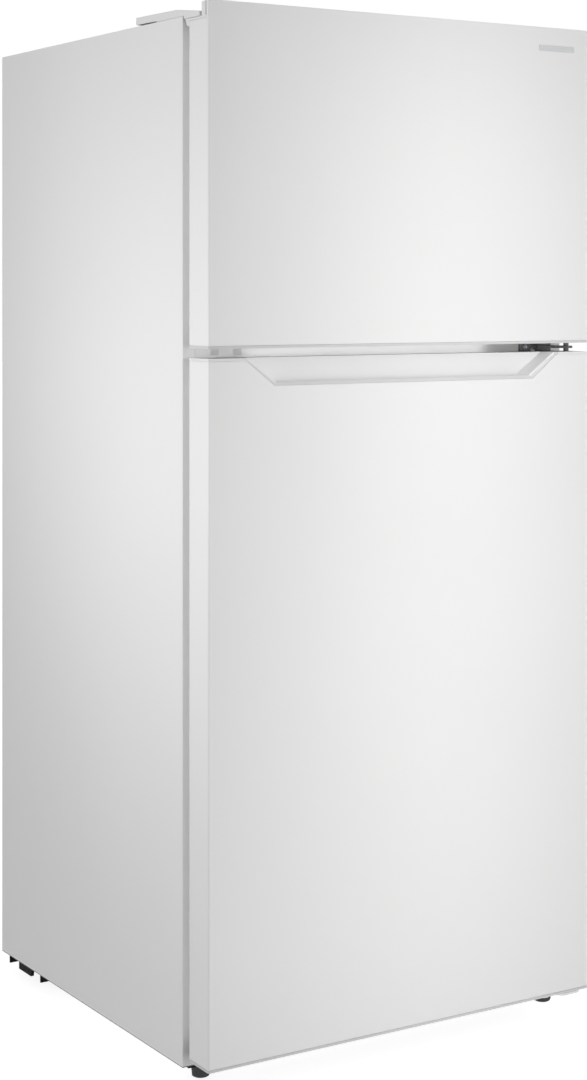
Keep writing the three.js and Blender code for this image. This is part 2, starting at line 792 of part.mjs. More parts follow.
function lampLens() {
  const lip = block(-104, 14, -204, -86, CONTROL_LOW + WALL + GAP, CONTROL_LOW + WALL + 2);
  return lip.add(block(-99.5, 9.5, -199.5, -90.5, CONTROL_LOW - 2, CONTROL_LOW + WALL + 1));
}

function fridgeShelf(level) {
  const half = FRIDGE_HALF - GAP;
  const back = 285;
  const frame = block(-half, half, SHELF_FRONT, back, level, level + SHELF_FRAME);
  const rim = 14;
  const above = block(-half + rim, half - rim, SHELF_FRONT + rim, back - rim, level + 10, level + 20);
  const below = block(-half + rim, half - rim, SHELF_FRONT + rim, back - rim, level - OVER, level + 6);
  return cut(frame, [above, below]);
}

const BEAM_LOW = 303;
const SLIDER_Z = 312;
const SLIDER_X = 160;

function crisperCover() {
  const half = FRIDGE_HALF - GAP;
  const plate = block(-half, half, CRISPER_FRONT, STEP_Y - 2, COVER_Z, COVER_Z + 6);
  const reach = half - LEDGE - 1;
  const beam = block(-reach, reach, CRISPER_FRONT, CRISPER_FRONT + 10, BEAM_LOW, COVER_Z + 1);
  const slots = [-SLIDER_X, SLIDER_X].map((x) => {
    const y = CRISPER_FRONT;
    return block(x - 27, x + 27, y - OVER, y + 11, SLIDER_Z - 2, SLIDER_Z + 2);
  });
  return cut(plate.add(beam), slots);
}

function humiditySlider(x) {
  const face = CRISPER_FRONT - GAP;
  const start = x - 20;
  const tab = block(start - 12, start + 12, face - 4, face, SLIDER_Z - 5, SLIDER_Z + 5);
  return tab.add(block(start - 5, start + 5, face - OVER, CRISPER_FRONT + 9, SLIDER_Z - 1.7, SLIDER_Z + 1.7));
}

function crisper(side) {
  const inner = side * 3;
  const outer = side * CRISPER_OUT;
  const x0 = Math.min(inner, outer);
  const x1 = Math.max(inner, outer);
  const middle = (x0 + x1) / 2;
  const tray = openTray(x0, x1, CRISPER_FRONT, CRISPER_BACK, FRIDGE_FLOOR + GAP, CRISPER_TOP, WALL);
  const grip = block(middle - 60, middle + 60, CRISPER_FRONT - 12, CRISPER_FRONT + OVER, 262, 272);
  return tray.add(grip);
}

// ---- Doors ----
// Plan of a door slab, front corners rounded, drawn inside its outer face by an inset.
function doorPlan(inset, backInset) {
  const half = DOOR_HALF - inset;
  const front = DOOR_FRONT + inset;
  const back = DOOR_BACK - backInset;
  const round = Math.max(DOOR_ROUND - inset, 0);
  return [[-half, back], [-half, front, round], [half, front, round], [half, back]];
}

function doorSkin(low, high) {
  const outer = prismZ(doorPlan(0, 0), low, high);
  const inner = prismZ(doorPlan(SHEET, SHEET), low - OVER, high + OVER);
  const edge = LINER_HALF + 2;
  return cut(outer, [inner, block(-edge, edge, DOOR_BACK - 3, DOOR_BACK + OVER, low - OVER, high + OVER)]);
}

function freezerDoorSkin() {
  const tall = doorSkin(FREEZER_DOOR_LOW + CAP + GAP, HEIGHT);
  const above = FREEZER_SHELF_TOP - CAP - GAP;
  return tall.subtract(block(-CASE_HALF, CASE_HALF, DOOR_FRONT + DOOR_RETURN, 0, above, HEIGHT + OVER));
}

function pocketSolid(grow, front, high) {
  const back = DOOR_FRONT + POCKET_DEEP + grow;
  const low = POCKET_Z - grow;
  const top = POCKET_TOP_HALF + grow;
  const bottom = POCKET_LOW_HALF + grow;
  const corners = [];
  [[front, 0], [back, POCKET_TAPER]].forEach(([y, taper]) => {
    [-1, 1].forEach((side) => {
      corners.push([side * (top - taper), y, high]);
      corners.push([side * (bottom - taper), y, low]);
    });
  });
  return hull(corners);
}

// The opening cut in the front sheet, a chamfer wider than the pocket.
function pocketMouth(grow, front, back) {
  const top = POCKET_TOP_HALF + POCKET_CHAMFER + grow;
  const bottom = POCKET_LOW_HALF + POCKET_CHAMFER / 2 + grow;
  const low = POCKET_Z - POCKET_CHAMFER - grow;
  const high = FRIDGE_DOOR_HIGH + OVER;
  return prismY([[-top, high], [-bottom, low], [bottom, low], [top, high]], front, back);
}

function fridgeDoorSkin() {
  const skin = doorSkin(FRIDGE_DOOR_LOW + CAP + GAP, FRIDGE_DOOR_HIGH - CAP - GAP);
  return skin.subtract(pocketMouth(GAP, DOOR_FRONT - OVER, DOOR_FRONT + SHEET + OVER));
}

function grooveBlock(grow, high) {
  const half = GROOVE_HALF + grow;
  const near = DOOR_FRONT + GROOVE_NEAR - grow;
  const far = DOOR_FRONT + GROOVE_FAR + grow;
  return block(-half, half, near, far, GROOVE_Z - grow, high);
}

const PLUG_DEEP = 14;
const BOSS_LOW = FRIDGE_DOOR_HIGH - 30;

function fridgeDoorTopCap() {
  const low = FRIDGE_DOOR_HIGH - CAP;
  const shell = POCKET_SHELL;
  const mouthBack = DOOR_FRONT + POCKET_CHAMFER;
  const plate = prismZ(doorPlan(0, 0), low, FRIDGE_DOOR_HIGH);
  const mouth = pocketMouth(0, DOOR_FRONT, DOOR_FRONT + 3);
  const pocket = pocketSolid(shell, DOOR_FRONT + SHEET + GAP, low + OVER);
  const inside = block(-400, 400, DOOR_FRONT, DOOR_BACK, 0, FRIDGE_DOOR_HIGH);
  const body = union([
    plate,
    plugRing(low - PLUG_DEEP, low + 0.5),
    mouth.intersect(inside),
    pocket,
    grooveBlock(shell, POCKET_Z),
    rodZ(AXIS_X, AXIS_Y, BOSS_LOW, low + OVER, BOSS, BOSS, 20),
  ]);
  const flare = [];
  [[DOOR_FRONT - OVER, POCKET_CHAMFER + OVER], [mouthBack, 0]].forEach(([y, spread]) => {
    [-1, 1].forEach((side) => {
      flare.push([side * (POCKET_TOP_HALF + spread), y, FRIDGE_DOOR_HIGH + OVER]);
      flare.push([side * (POCKET_LOW_HALF + spread / 2), y, POCKET_Z - spread]);
    });
  });
  return cut(body, [
    pocketSolid(0, DOOR_FRONT - OVER, FRIDGE_DOOR_HIGH + OVER),
    hull(flare),
    grooveBlock(0, POCKET_Z + OVER),
    rodZ(AXIS_X, AXIS_Y, BOSS_LOW - OVER, FRIDGE_DOOR_HIGH + OVER, BORE, BORE, 16),
  ]);
}

function bore(low, high) {
  return rodZ(AXIS_X, AXIS_Y, low, high, BORE, BORE, 16);
}

function plugRing(low, high) {
  const ring = prismZ(doorPlan(SHEET + GAP, 2.5), low, high);
  return ring.subtract(prismZ(doorPlan(SHEET + 3, 5), low - OVER, high + OVER));
}

function bottomCap(low) {
  const plate = prismZ(doorPlan(0, 0), low, low + CAP);
  const ring = plugRing(low + CAP - 0.5, low + CAP + PLUG_DEEP);
  const boss = rodZ(AXIS_X, AXIS_Y, low + CAP - 0.5, low + 30, BOSS, BOSS, 20);
  return union([plate, ring, boss]).subtract(bore(low - OVER, low + 31));
}

const GRIP_HALF = 296;
const GRIP_NEAR = 7.2;
const GRIP_FAR = 43.2;
const GRIP_TOP = 1168;

function gripBlock(grow, low) {
  const near = DOOR_FRONT + GRIP_NEAR - grow;
  const far = DOOR_FRONT + GRIP_FAR + grow;
  return block(-GRIP_HALF - grow, GRIP_HALF + grow, near, far, low, GRIP_TOP + grow);
}

function freezerDoorBottomCap() {
  const low = FREEZER_DOOR_LOW;
  const body = bottomCap(low).add(gripBlock(0, low + 1));
  const half = GRIP_HALF - 3;
  const near = DOOR_FRONT + GRIP_NEAR + 3;
  const far = DOOR_FRONT + GRIP_FAR - 3;
  return body.subtract(block(-half, half, near, far, low - OVER, GRIP_TOP - 3));
}

const LIP_BACK = -362;
const LIP_WALL = 2.5;
const LIP_SEAM = 2;
const LIP_TOP = HEIGHT - 1;
const LIP_END = 320;

function freezerDoorTopCap() {
  const high = FREEZER_SHELF_TOP;
  const low = high - CAP;
  const step = DOOR_FRONT + DOOR_RETURN + GAP;
  const plan = doorPlan(0, 0);
  const rear = block(-CASE_HALF, CASE_HALF, step, 0, low - OVER, high + OVER);
  const inner = prismZ(doorPlan(SHEET + GAP, 0.5), low, high);
  const plate = prismZ(plan, low, high).intersect(rear).add(inner);
  const wall = block(-DOOR_HALF, LIP_END, LIP_BACK - LIP_WALL, LIP_BACK, high - OVER, LIP_TOP);
  const front = DOOR_FRONT + SHEET + GAP;
  const seam = DOOR_FRONT + DOOR_RETURN + LIP_SEAM;
  const end = block(-DOOR_HALF, -DOOR_HALF + LIP_WALL, seam, LIP_BACK, high - OVER, LIP_TOP);
  const top = union([
    block(-DOOR_HALF + DOOR_RETURN, LIP_END, front, LIP_BACK, LIP_TOP - 2, LIP_TOP),
    block(-DOOR_HALF, -DOOR_HALF + DOOR_RETURN + OVER, seam, LIP_BACK, LIP_TOP - 2, LIP_TOP),
  ]);
  const earProfile = [
    [DOOR_BACK + GAP, high - 12],
    [DOOR_BACK + 7, high - 12, 5],
    [DOOR_BACK + 13, high],
    [DOOR_BACK - 1, high],
    [DOOR_BACK - 1, low + GAP],
    [DOOR_BACK + GAP, low + GAP],
  ];
  const ear = prismX(earProfile, -DOOR_HALF, 300, 4);
  const boss = rodZ(AXIS_X, AXIS_Y, high - 34, low + OVER, BOSS, BOSS, 20);
  const rightEnd = block(LIP_END - LIP_WALL, LIP_END, front, LIP_BACK, high - OVER, LIP_TOP);
  const body = union([plate, wall, end, rightEnd, top, ear, plugRing(low - PLUG_DEEP, low + 0.5), boss]);
  return body.subtract(bore(high - 35, high + OVER));
}

function doorCore(low, high, tools) {
  const plan = doorPlan(SHEET + GAP, 2.3);
  return cut(prismZ(plan, low, high), tools);
}

function bossRoom(low, high) {
  return rodZ(AXIS_X, AXIS_Y, low, high, BOSS + GAP, BOSS + GAP, 20);
}

function freezerDoorCore() {
  const low = FREEZER_DOOR_LOW + CAP + PLUG_DEEP + GAP;
  const high = FREEZER_SHELF_TOP - CAP - PLUG_DEEP - GAP;
  return doorCore(low, high, [
    gripBlock(GAP, low - OVER),
    bossRoom(low - OVER, FREEZER_DOOR_LOW + 31),
    bossRoom(FREEZER_SHELF_TOP - 35, high + OVER),
  ]);
}

function fridgeDoorCore() {
  const low = FRIDGE_DOOR_LOW + CAP + PLUG_DEEP + GAP;
  const high = FRIDGE_DOOR_HIGH - CAP - PLUG_DEEP - GAP;
  const shell = POCKET_SHELL + GAP;
  return doorCore(low, high, [
    pocketSolid(shell, DOOR_FRONT + SHEET + GAP, high + OVER),
    pocketMouth(shell, DOOR_FRONT - OVER, DOOR_FRONT + 3 + GAP),
    grooveBlock(shell, POCKET_Z),
    bossRoom(low - OVER, FRIDGE_DOOR_LOW + 31),
    bossRoom(BOSS_LOW - GAP, high + OVER),
  ]);
}

// The moulded inner panel of a door: a plate with two hollow upright dikes and bin ledges.
function doorLiner(low, high, dikeLow, dikeHigh, binFloors) {
  const face = DOOR_BACK - 2;
  const back = DOOR_BACK + DIKE_DEEP;
  const wall = LINER;
  const plate = block(-LINER_HALF, LINER_HALF, face, DOOR_BACK, low, high);
  const dikes = pair(DIKE_IN, DIKE_OUT, DOOR_BACK - OVER, back, dikeLow, dikeHigh);
  const inside = back - wall;
  const hollows = pair(DIKE_IN + wall, DIKE_OUT - wall, face - OVER, inside, dikeLow + wall, dikeHigh - wall);
  const ledgeBack = DOOR_BACK + 60;
  const ledges = binFloors.map((z) => {
    return pair(DIKE_IN - LEDGE, DIKE_IN + 1, DOOR_BACK - OVER, ledgeBack, z - 6, z - GAP);
  });
  return union([plate.add(dikes).subtract(hollows), ...ledges]);
}

// A magnetic seal: a rectangular ring standing between the door liner and the cabinet front.
function gasket(low, high) {
  const front = DOOR_BACK + GAP;
  const back = CASE_FRONT - 0.4;
  const half = GASKET_HALF;
  const wide = GASKET_WIDE;
  const ring = block(-half, half, front, back, low, high);
  return ring.subtract(block(-half + wide, half - wide, front - OVER, back + OVER, low + wide, high - wide));
}

function doorBin(low, tall) {
  const front = DOOR_BACK + GAP + 0.1;
  return openTray(-BIN_HALF, BIN_HALF, front, front + BIN_DEEP, low, low + tall, WALL);
}

function nameplate() {
  const corners = [[267, 1640, 2], [342, 1640, 2], [342, 1650, 2], [267, 1650, 2]];
  return prismY(corners, -DEPTH / 2, DOOR_FRONT - GAP, 3);
}

// ---- Assembly ----
add("outer_case", "enamel", outerCase());
add("insulation", "foam", insulation());
add("freezer_liner", "liner", freezerLiner());
add("fridge_liner", "liner", fridgeLiner());
add("mullion_rail", "enamel", mullionRail());
PLUG_SPOTS.forEach(([name, x]) => add(name, "plastic", mullionPlug(x)));
add("base_rail", "enamel", baseRail());
add("base_plate", "galvanised", basePlate());
add("back_panel", "galvanised", backPanel());
add("condenser_coil", "copper", condenserCoil());
add("compressor_cover", "galvanised", compressorCover());
add("cord_gland", "black", cordGland());
add("compressor_base", "black", compressorBase());
add("compressor", "black", compressor());
add("drain_pan", "dark", drainPan());
add("roller_left", "dark", roller(-1));
add("roller_right", "dark", roller(1));
add("leveling_foot_left", "dark", levelingFoot(FOOT_LEFT, FOOT_LEFT_HIGH, 29.5));
add("leveling_foot_right", "dark", levelingFoot(FOOT_RIGHT, FOOT_RIGHT_HIGH, 50));
add("foot_bracket_left", "black", footBracketLeft());
add("top_hinge", "steel", topHinge());
add("middle_hinge", "steel", middleHinge());
add("bottom_hinge", "steel", bottomHinge());
add("hinge_cover_left", "plastic", hingeCoverLeft());
add("hinge_cover_right", "plastic", hingeCoverRight());
add("evaporator", "steel", evaporator());
add("evaporator_cover", "liner", evaporatorCover());
add("evaporator_fan", "dark", evaporatorFan());
add("freezer_control_knob", "plastic", frontKnob(KNOB_X, FREEZER_KNOB_Z, COVER_FACE, 18, COVER_FACE + 8));
add("freezer_shelf", "enamel", freezerShelf());
add("air_duct", "liner", airDuct());
add("control_housing", "liner", controlHousing());
add("lamp_lens", "clear", lampLens());
const fridgeKnob = frontKnob(CONTROL_KNOB_X, CONTROL_KNOB_Z, CONTROL_FRONT, 17, CONTROL_FRONT + 8);
add("fridge_control_knob", "plastic", fridgeKnob);
add("fridge_shelf_upper", "clear", fridgeShelf(SHELF_LEVELS[1]));
add("fridge_shelf_lower", "clear", fridgeShelf(SHELF_LEVELS[0]));
add("crisper_cover", "clear", crisperCover());
add("humidity_slider_left", "plastic", humiditySlider(-SLIDER_X));
add("humidity_slider_right", "plastic", humiditySlider(SLIDER_X));
add("crisper_left", "clear", crisper(-1));
add("crisper_right", "clear", crisper(1));

add("freezer_door_skin", "enamel", freezerDoorSkin());
add("freezer_door_core", "foam", freezerDoorCore());
add("freezer_door_liner", "liner", doorLiner(1156, 1648, 1200, 1596, [1215, 1425]));
add("freezer_door_top_cap", "plastic", freezerDoorTopCap());
add("freezer_door_bottom_cap", "plastic", freezerDoorBottomCap());
add("freezer_door_gasket", "rubber", gasket(1152, 1640));
add("freezer_door_bin_lower", "clear", doorBin(1215, 90));
add("freezer_door_bin_upper", "clear", doorBin(1425, 90));
add("fridge_door_skin", "enamel", fridgeDoorSkin());
add("fridge_door_core", "foam", fridgeDoorCore());
add("fridge_door_liner", "liner", doorLiner(53, 1124, 130, 1075, [150, 480, 790]));
add("fridge_door_top_cap", "plastic", fridgeDoorTopCap());
add("fridge_door_bottom_cap", "plastic", bottomCap(FRIDGE_DOOR_LOW));
add("fridge_door_gasket", "rubber", gasket(66, 1126));
add("fridge_door_bin_lower", "clear", doorBin(150, 110));
add("fridge_door_bin_middle", "clear", doorBin(480, 85));
add("fridge_door_bin_upper", "clear", doorBin(790, 85));
add("nameplate", "badge", nameplate());

export default group;
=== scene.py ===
import json
import math

import bmesh
import bpy
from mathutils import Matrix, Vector

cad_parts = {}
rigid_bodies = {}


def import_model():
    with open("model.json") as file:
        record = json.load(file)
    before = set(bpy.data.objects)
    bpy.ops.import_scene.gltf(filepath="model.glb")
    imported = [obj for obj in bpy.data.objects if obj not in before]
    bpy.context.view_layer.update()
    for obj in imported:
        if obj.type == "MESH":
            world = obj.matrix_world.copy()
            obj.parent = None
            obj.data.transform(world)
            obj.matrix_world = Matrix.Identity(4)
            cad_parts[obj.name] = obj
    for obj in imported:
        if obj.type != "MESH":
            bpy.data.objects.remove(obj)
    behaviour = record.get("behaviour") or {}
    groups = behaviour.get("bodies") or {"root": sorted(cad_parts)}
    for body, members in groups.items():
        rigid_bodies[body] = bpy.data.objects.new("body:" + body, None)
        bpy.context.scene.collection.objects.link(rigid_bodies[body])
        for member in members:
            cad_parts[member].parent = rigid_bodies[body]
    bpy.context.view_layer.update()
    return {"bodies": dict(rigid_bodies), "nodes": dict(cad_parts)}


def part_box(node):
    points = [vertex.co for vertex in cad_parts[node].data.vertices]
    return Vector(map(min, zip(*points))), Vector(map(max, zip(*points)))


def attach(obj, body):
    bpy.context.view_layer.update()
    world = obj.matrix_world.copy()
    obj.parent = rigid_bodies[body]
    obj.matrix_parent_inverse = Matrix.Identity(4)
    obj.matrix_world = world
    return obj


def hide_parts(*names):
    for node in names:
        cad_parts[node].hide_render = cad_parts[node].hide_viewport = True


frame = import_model()
NODES = frame["nodes"]
MM = 0.001


def spans(node_name):
    """The x, y and z spans of a CAD node, to a thousandth of a millimetre."""
    low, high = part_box(node_name)
    return [(round(a, 6), round(b, 6)) for a, b in zip(low, high)]


GAP = 0.3 * MM
CASE_FRONT, CASE_BACK = spans("outer_case")[1]
CASE_LOW = spans("outer_case")[2][0]
DOOR_FRONT, DOOR_BACK = spans("fridge_door_skin")[1]


# ---------- finishes ----------
NOISE_RANGE = (0.3, 0.7)
RANGE_ENDS = ("From Min", "From Max", "To Min", "To Max")


def node(tree, kind, **values):
    made = tree.nodes.new(kind)
    for key, value in values.items():
        setattr(made, key, value)
    return made


def ranged(tree, source, ends, **values):
    """A value mapped from ends[0] and ends[1] to ends[2] and ends[3]."""
    made = node(tree, "ShaderNodeMapRange", **values)
    for key, value in zip(RANGE_ENDS, ends):
        made.inputs[key].default_value = value
    tree.links.new(source, made.inputs["Value"])
    return made.outputs["Result"]


def noise(tree, scale, detail, stretch):
    coord = node(tree, "ShaderNodeTexCoord")
    mapping = node(tree, "ShaderNodeMapping")
    mapping.inputs["Scale"].default_value = stretch
    texture = node(tree, "ShaderNodeTexNoise")
    texture.inputs["Scale"].default_value = scale
    texture.inputs["Detail"].default_value = detail
    tree.links.new(coord.outputs["Object"], mapping.inputs["Vector"])
    tree.links.new(mapping.outputs["Vector"], texture.inputs["Vector"])
    return texture.outputs["Fac"]


def crystals(tree, scale):
    coord = node(tree, "ShaderNodeTexCoord")
    texture = node(tree, "ShaderNodeTexVoronoi")
    texture.inputs["Scale"].default_value = scale
    tree.links.new(coord.outputs["Object"], texture.inputs["Vector"])
    return texture.outputs["Color"]


def tinted(tree, shader, source, color, tint):
    mix = node(tree, "ShaderNodeMix", data_type="RGBA")
    mix.inputs["A"].default_value = (*[c * (1 - tint) for c in color], 1)
    mix.inputs["B"].default_value = (*[min(1.0, c * (1 + tint)) for c in color], 1)
    tree.links.new(source, mix.inputs["Factor"])
    tree.links.new(mix.outputs["Result"], shader.inputs["Base Color"])


def finish(name, color, rough, *, tint, grain, depth, patch=3.0, rough_by=0.04,
           stretch=(1, 1, 1), cells=False, **sockets):
    """A Principled finish whose colour, roughness and surface all vary a little.

    patch and grain are noise scales, and depth is the height of the grain in mm.
    """
    material = bpy.data.materials.new(name)
    material.use_nodes = True
    tree = material.node_tree
    shader = tree.nodes["Principled BSDF"]
    tone = crystals(tree, patch) if cells else noise(tree, patch, 4.0, stretch)
    tinted(tree, shader, ranged(tree, tone, (*NOISE_RANGE, 0, 1)), color, tint)
    rough_ends = (*NOISE_RANGE, rough - rough_by, rough + rough_by)
    worn = ranged(tree, noise(tree, patch * 7, 3.0, stretch), rough_ends)
    tree.links.new(worn, shader.inputs["Roughness"])
    bump = node(tree, "ShaderNodeBump")
    bump.inputs["Strength"].default_value = 1.0
    bump.inputs["Distance"].default_value = depth * MM
    tree.links.new(noise(tree, grain, 2.0, stretch), bump.inputs["Height"])
    tree.links.new(bump.outputs["Normal"], shader.inputs["Normal"])
    for socket, value in sockets.items():
        shader.inputs[socket.replace("_", " ")].default_value = value
    return material


def enamel(name):
    return finish(name, (0.86, 0.86, 0.855), 0.36, tint=0.008, grain=420, depth=0.018,
                  Coat_Weight=0.25, Coat_Roughness=0.18)


ENAMEL = enamel("enamel")
# The outer case's enamel, with a painted dark strip of shade along its bottom edge.
CASE_ENAMEL_WITH_SHADE = enamel("case_enamel_with_shade")
RAIL_ENAMEL = finish("rail_enamel", (0.6, 0.6, 0.6), 0.42, tint=0.02, grain=420, depth=0.02)
PLASTIC = finish("plastic", (0.83, 0.83, 0.825), 0.42, tint=0.012, patch=6, grain=1400, depth=0.01)
# A mid grey plastic for the mullion plugs and the door bottom caps. On the caps it is painted
# shade: their darker grey stands in for the dark line of shade along each door's bottom edge.
TRIM_AND_SHADE_LINE = finish("trim_plastic_and_shade_line", (0.66, 0.66, 0.66), 0.45, tint=0.02, patch=6, grain=1400, depth=0.01)
MOULDING = finish("moulding", (0.86, 0.865, 0.86), 0.34, tint=0.01, patch=2, grain=260, depth=0.03)
GALVANISED = finish("galvanised", (0.52, 0.54, 0.55), 0.42, tint=0.045, patch=170, rough_by=0.05,
                    grain=200, depth=0.02, cells=True, Metallic=0.85)
STEEL = finish("steel", (0.62, 0.63, 0.64), 0.33, tint=0.06, patch=30, grain=900, depth=0.02,
               stretch=(1, 12, 12), Metallic=1.0)
# A darkened copy of the steel for the middle hinge. It is painted shade for the hinge sitting in
# the shaded crack between the doors. The outer hinges keep the bright steel.
HINGE_STEEL_PAINTED_SHADE = finish("steel_darkened_as_shade", (0.1, 0.102, 0.105), 0.22, tint=0.08, patch=30, grain=900,
                     depth=0.02, stretch=(12, 1, 12), Metallic=1.0)
ALUMINIUM = finish("aluminium", (0.76, 0.77, 0.78), 0.34, tint=0.04, patch=20, grain=700,
                   depth=0.02, Metallic=1.0)
COPPER = finish("copper", (0.72, 0.38, 0.24), 0.34, tint=0.12, patch=25, grain=500,
                depth=0.02, Metallic=1.0)
BLACK = finish("black_steel", (0.01, 0.01, 0.011), 0.62, tint=0.2, patch=12, rough_by=0.08,
               grain=500, depth=0.03, Specular_IOR_Level=0.08)
DARK = finish("dark_plastic", (0.05, 0.051, 0.054), 0.55, tint=0.12, patch=20, rough_by=0.06,
              grain=900, depth=0.04, Specular_IOR_Level=0.35)
RUBBER = finish("gasket", (0.92, 0.925, 0.92), 0.6, tint=0.05, patch=9, grain=800, depth=0.03)
BLACK_RUBBER = finish("black_rubber", (0.018, 0.018, 0.019), 0.7, tint=0.2, patch=40, grain=900,
                      depth=0.05)
FOAM = finish("foam", (0.74, 0.64, 0.4), 0.9, tint=0.1, patch=160, grain=500, depth=0.4, cells=True)
CLEAR = finish("clear_plastic", (0.9, 0.95, 0.96), 0.12, tint=0.01, patch=8, rough_by=0.03,
               grain=30, depth=0.05, Transmission_Weight=0.82, IOR=1.49)
FROSTED = finish("frosted_plastic", (0.9, 0.93, 0.95), 0.4, tint=0.02, patch=8, rough_by=0.05,
                 grain=900, depth=0.03, Transmission_Weight=0.45, IOR=1.49)
GLASS = finish("shelf_glass", (0.86, 0.95, 0.92), 0.05, tint=0.01, patch=5, rough_by=0.02,
               grain=12, depth=0.02, Transmission_Weight=0.95, IOR=1.5)
BADGE = finish("badge_metal", (0.6, 0.605, 0.61), 0.34, tint=0.05, patch=40, grain=1500,
               depth=0.01, stretch=(1, 1, 14), Metallic=0.6)
MARK = finish("mark_print", (0.32, 0.36, 0.4), 0.5, tint=0.05, patch=60, grain=900, depth=0.01)

# Painted shade along the bottom edge of the outer case: the heights above its bottom where the dark
# strip fades out, and its dark colour.
BOTTOM_SHADE_FROM = 1.2 * MM
BOTTOM_SHADE_TO = 1.8 * MM
BOTTOM_SHADE_COLOR = (0.05, 0.05, 0.05)


def painted_bottom_shade(material, low, high, color):
    """Below a height the colour darkens to a painted shade, a dark strip standing in for the shadow
    line along the bottom edge of the sheet.
    """
    tree = material.node_tree
    shader = tree.nodes["Principled BSDF"]
    paint = shader.inputs["Base Color"].links[0].from_socket
    coord = node(tree, "ShaderNodeTexCoord")
    axes = node(tree, "ShaderNodeSeparateXYZ")
    tree.links.new(coord.outputs["Object"], axes.inputs["Vector"])
    mix = node(tree, "ShaderNodeMix", data_type="RGBA")
    mix.inputs["A"].default_value = (*color, 1)
    tree.links.new(ranged(tree, axes.outputs["Z"], (low, high, 0, 1)), mix.inputs["Factor"])
    tree.links.new(paint, mix.inputs["B"])
    tree.links.new(mix.outputs["Result"], shader.inputs["Base Color"])


painted_bottom_shade(CASE_ENAMEL_WITH_SHADE, CASE_LOW + BOTTOM_SHADE_FROM, CASE_LOW + BOTTOM_SHADE_TO, BOTTOM_SHADE_COLOR)


# ---------- mesh helpers ----------
def piece(name, verts, faces, material, body, slot=None, smooth=True):
    data = bpy.data.meshes.new(name)
    data.from_pydata([tuple(v) for v in verts], [], faces)
    data.materials.append(material)
    data.validate()
    obj = bpy.data.objects.new(name, data)
    bpy.context.scene.collection.objects.link(obj)
    if smooth:
        data.shade_smooth()
    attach(obj, body)
    return obj


def soften(obj, width, segments, angle=30.0):
    """Round the edges that are sharper than an angle in degrees."""
    bevel = obj.modifiers.new("soft_edges", "BEVEL")
    bevel.width = width
    bevel.segments = segments
    bevel.limit_method = "ANGLE"
    bevel.angle_limit = math.radians(angle)
    bevel.miter_outer = "MITER_ARC"
    bevel.loop_slide = False
    normals = obj.modifiers.new("even_normals", "WEIGHTED_NORMAL")
    normals.keep_sharp = True


def join_parts(parts):
    """Several (verts, faces) pairs as one."""
    verts, faces = [], []
    for part_verts, part_faces in parts:
        start = len(verts)
        verts += part_verts
        faces += [tuple(start + i for i in face) for face in part_faces]
    return verts, faces


def box_mesh(x0, x1, y0, y1, z0, z1):
    corners = ((x0, y0), (x1, y0), (x1, y1), (x0, y1))
    verts = [Vector((x, y, z)) for z in (z0, z1) for x, y in corners]
    faces = [(3, 2, 1, 0), (4, 5, 6, 7), (0, 1, 5, 4), (1, 2, 6, 5), (2, 3, 7, 6), (3, 0, 4, 7)]
    return verts, faces


def loft(rings, closed=False):
    """Faces between rings of equal length, with both ends capped.

    closed joins the last ring to the first instead.
    """
    count = len(rings[0])
    verts = [Vector(p) for ring in rings for p in ring]
    faces = []
    links = len(rings) if closed else len(rings) - 1
    for i in range(links):
        a, b = i * count, ((i + 1) % len(rings)) * count
        for k in range(count):
            n = (k + 1) % count
            faces.append((a + k, a + n, b + n, b + k))
    if not closed:
        faces.append(tuple(reversed(range(count))))
        faces.append(tuple(range((len(rings) - 1) * count, len(rings) * count)))
    return verts, faces


CORNER_STEPS = 5


def rounded(x0, x1, y0, y1, radius):
    """Points of a rounded rectangle, anticlockwise."""
    left, right = x0 + radius, x1 - radius
    near, far = y0 + radius, y1 - radius
    points = []
    for cx, cy, start in ((right, far, 0), (left, far, 90), (left, near, 180), (right, near, 270)):
        for k in range(CORNER_STEPS + 1):
            angle = math.radians(start + 90 * k / CORNER_STEPS)
            points.append((cx + radius * math.cos(angle), cy + radius * math.sin(angle)))
    return points


def turned(profile, centre, axis, sides, scallops=0, scallop_depth=0.0, scalloped=()):
    """A lathe shape of (radius, height) rings. Scallops cut the rings with the given numbers."""
    rings = []
    for i, (radius, height) in enumerate(profile):
        ring = []
        for k in range(sides):
            angle = 2 * math.pi * k / sides
            r = radius
            if i in scalloped:
                r -= scallop_depth * (0.5 - 0.5 * math.cos(scallops * angle))
            u, v = r * math.cos(angle), r * math.sin(angle)
            if axis == "Z":
                point = (centre[0] + u, centre[1] + v, centre[2] + height)
            elif axis == "Y":
                point = (centre[0] + v, centre[1] + height, centre[2] + u)
            else:
                point = (centre[0] + height, centre[1] + u, centre[2] + v)
            ring.append(point)
        rings.append(ring)
    return loft(rings)


def tube(path, radius, sides):
    """A round rod along a list of points."""
    points = [Vector(p) for p in path]
    turns = [2 * math.pi * k / sides for k in range(sides)]
    rings = []
    side = None
    for i, point in enumerate(points):
        ahead = points[min(i + 1, len(points) - 1)] - points[max(i - 1, 0)]
        ahead.normalize()
        if side is None:
            side = ahead.orthogonal().normalized()
        side = (side - ahead * side.dot(ahead)).normalized()
        up = ahead.cross(side)
        rings.append([point + side * (radius * math.cos(turn)) + up * (radius * math.sin(turn))
                      for turn in turns])
    return loft(rings)


def bent(corners, radius, steps=5):
    """A path through corners with each inner corner rounded."""
    points = [Vector(c) for c in corners]
    path = [points[0]]
    for before, here, after in zip(points, points[1:], points[2:]):
        a = here + (before - here).normalized() * radius
        b = here + (after - here).normalized() * radius
        for k in range(steps + 1):
            t = k / steps
            path.append(a.lerp(here, t).lerp(here.lerp(b, t), t))
    path.append(points[-1])
    return path


# ---------- CAD nodes shown as they are, with softened edges ----------
WELD_REACH = 0.02 * MM
FLAT_ANGLE = 0.6
# Nodes whose broad faces split with fewer folds by ear clipping.
CLIPPED = {"fridge_door_liner"}


